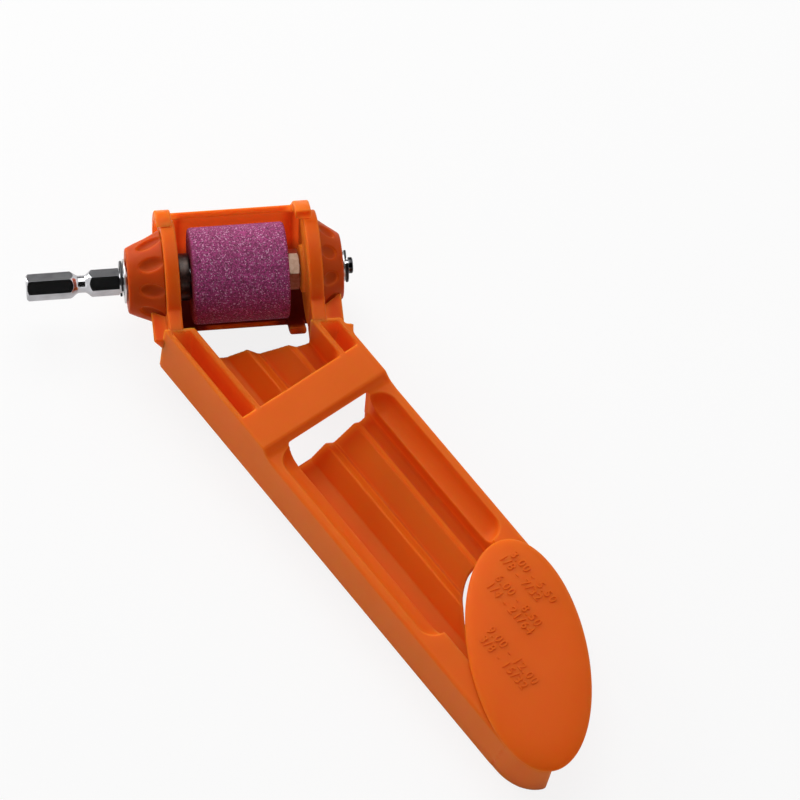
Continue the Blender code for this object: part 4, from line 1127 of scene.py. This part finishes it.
def build():
    """Every piece with its finish."""
    orange = orange_plastic("orange_plastic", 1.0)
    raised = orange_plastic("raised_orange", 0.0)
    # The head and the caps get darker copies of the same plastic: painted shade
    head = orange_plastic("head_shade_orange", 1.0, 0.35)
    deep = orange_plastic("painted_shade_orange", 1.0, 0.9)
    black = black_steel("black_steel", (0.05, 0.05, 0.052, 1))
    brown = black_steel("brown_steel", (0.16, 0.11, 0.09, 1))
    zinc = zinc_steel("zinc_steel", (0.62, 0.62, 0.63, 1), (0.74, 0.73, 0.71, 1), 0.26)
    # Zinc for the nut: its warm, dim tone is a painted reflection of the orange plastic round it and painted shade
    orange_reflection_zinc = zinc_steel("orange_reflection_zinc", (0.30, 0.20, 0.14, 1), (0.40, 0.29, 0.22, 1), 0.36)
    bearing = bearing_steel()
    handle_trough(orange)
    thumb_plate(orange)
    plate_figures(raised)
    handle_head(head)
    # The guard's plastic: a little painted shade by depth, a stronger painted glow and painted shade in its
    # recesses near the floor
    wheel_guard(orange_plastic("guard_glow_shade_orange", 1.0, 0.1, 1.6, shaded=True))
    end_cap(-1, "drive_cone", "drive_end_cap", deep)
    end_cap(1, "far_cone", "far_end_cap", deep)
    spindle_bar(spindle_steel())
    abrasive_wheel(pink_corundum())
    wheel_nut(orange_reflection_zinc)
    ring_piece("drive_face_washer", "drive_washer", WASHER_EDGE, zinc)
    ring_piece("far_face_washer", "far_washer", WASHER_EDGE, zinc)
    ring_piece("wheel_spacer", "wheel_collar", COLLAR_EDGE, brown)
    e_clip("drive_spring_clip", "drive_clip", DRIVE_CLIP_TURN, black)
    e_clip("far_spring_clip", "far_clip", FAR_CLIP_TURN, black)
    for name, node in frame["nodes"].items():
        if "bearing" in name:
            node.data.materials.clear()
            node.data.materials.append(bearing)


# Studio

SQUARE = ((-1, -1), (1, -1), (1, 1), (-1, 1))


def add_stage(name, corners, finish):
    """Flat sheet of the studio."""
    mesh = bpy.data.meshes.new(name)
    mesh.from_pydata(corners, [], [(0, 1, 2, 3)])
    mesh.materials.append(finish.material)
    sheet = bpy.data.objects.new(name, mesh)
    bpy.context.scene.collection.objects.link(sheet)
    return sheet


def studio_floor():
    """Pale floor that keeps the part's shadow and looks white."""
    finish = Finish("studio_floor")
    paper = finish.noise(finish.coordinates(), 0.05)
    colour = finish.mix(paper, (0.90, 0.90, 0.90, 1), (0.92, 0.92, 0.92, 1))
    finish.paint(Base_Color=colour, Roughness=0.9)
    glow = finish.node("ShaderNodeEmission", {}, {"Color": (1, 1, 1, 1), "Strength": 1.0})
    surface = Wire(finish, finish.shader.outputs[0])
    camera, mirror, clear = finish.rays()
    seen = finish.between(FLOOR_SEEN * (camera + clear) + FLOOR_MIRRORED * mirror, 0, 1)
    mixed = finish.node("ShaderNodeMixShader", {}, {0: seen, 1: surface, 2: glow})
    finish.connect(finish.tree.nodes["Material Output"].inputs["Surface"], mixed)
    add_stage("studio_floor", [(FLOOR_REACH * i, FLOOR_REACH * j, 0) for i, j in SQUARE], finish)


def studio_card(name, direction, distance, half, tone):
    """Dark card that only mirrors see, set across a direction of the head frame: bright metal needs something
    dark to reflect."""
    finish = Finish(name)
    finish.paint(Base_Color=(tone, tone, tone, 1), Roughness=1.0, Specular_IOR_Level=0.0)
    toward = np.array(direction) / np.linalg.norm(direction)
    across = np.cross(toward, (0, 0, 1))
    across = across / np.linalg.norm(across)
    over = np.cross(across, toward)
    middle = distance * toward
    corners = [middle + half * (i * across + j * over) for i, j in SQUARE]
    card = add_stage(name, from_head(np.array(corners)), finish)
    for ray in ("camera", "diffuse", "transmission", "volume_scatter", "shadow"):
        setattr(card, "visible_" + ray, False)


def studio_light():
    """Soft lamps round the part."""
    for name, place, size, power in LAMPS:
        light = bpy.data.lights.new(name, "AREA")
        light.size = size
        light.energy = power
        lamp = bpy.data.objects.new(name, light)
        lamp.location = place
        lamp.rotation_euler = (-lamp.location).to_track_quat("-Z", "Y").to_euler()
        bpy.context.scene.collection.objects.link(lamp)


def studio_world():
    """White surround for the camera and for reflections, and a weaker one that lights the part."""
    surround = Finish("studio", "worlds", "Background")
    camera, mirror, clear = surround.rays()
    level = surround.between(camera + mirror + clear, 0, 1, WORLD_LEVEL, 1.0)
    bpy.context.scene.world = surround.paint(Color=(1, 1, 1, 1), Strength=level)


def photo_camera():
    """Camera at the photograph's place, given in the handle frame."""
    data = bpy.data.cameras.new("photo_camera")
    data.lens = CAMERA_LENS
    data.sensor_width = CAMERA_SENSOR
    data.clip_end = 20
    camera = bpy.data.objects.new("photo_camera", data)
    turn = np.stack([CAMERA_RIGHT, -CAMERA_DOWN, -CAMERA_FORWARD], 1)
    matrix = np.eye(4)
    matrix[:3, :3] = HANDLE_AXES.T @ turn
    matrix[:3, 3] = from_handle(CAMERA_PLACE)
    camera.matrix_world = Matrix(matrix.tolist())
    bpy.context.scene.collection.objects.link(camera)
    bpy.context.scene.camera = camera


build()
studio_floor()
for card in CARDS:
    studio_card(*card)
studio_light()
studio_world()
photo_camera()
bpy.context.scene.view_settings.view_transform = "Standard"
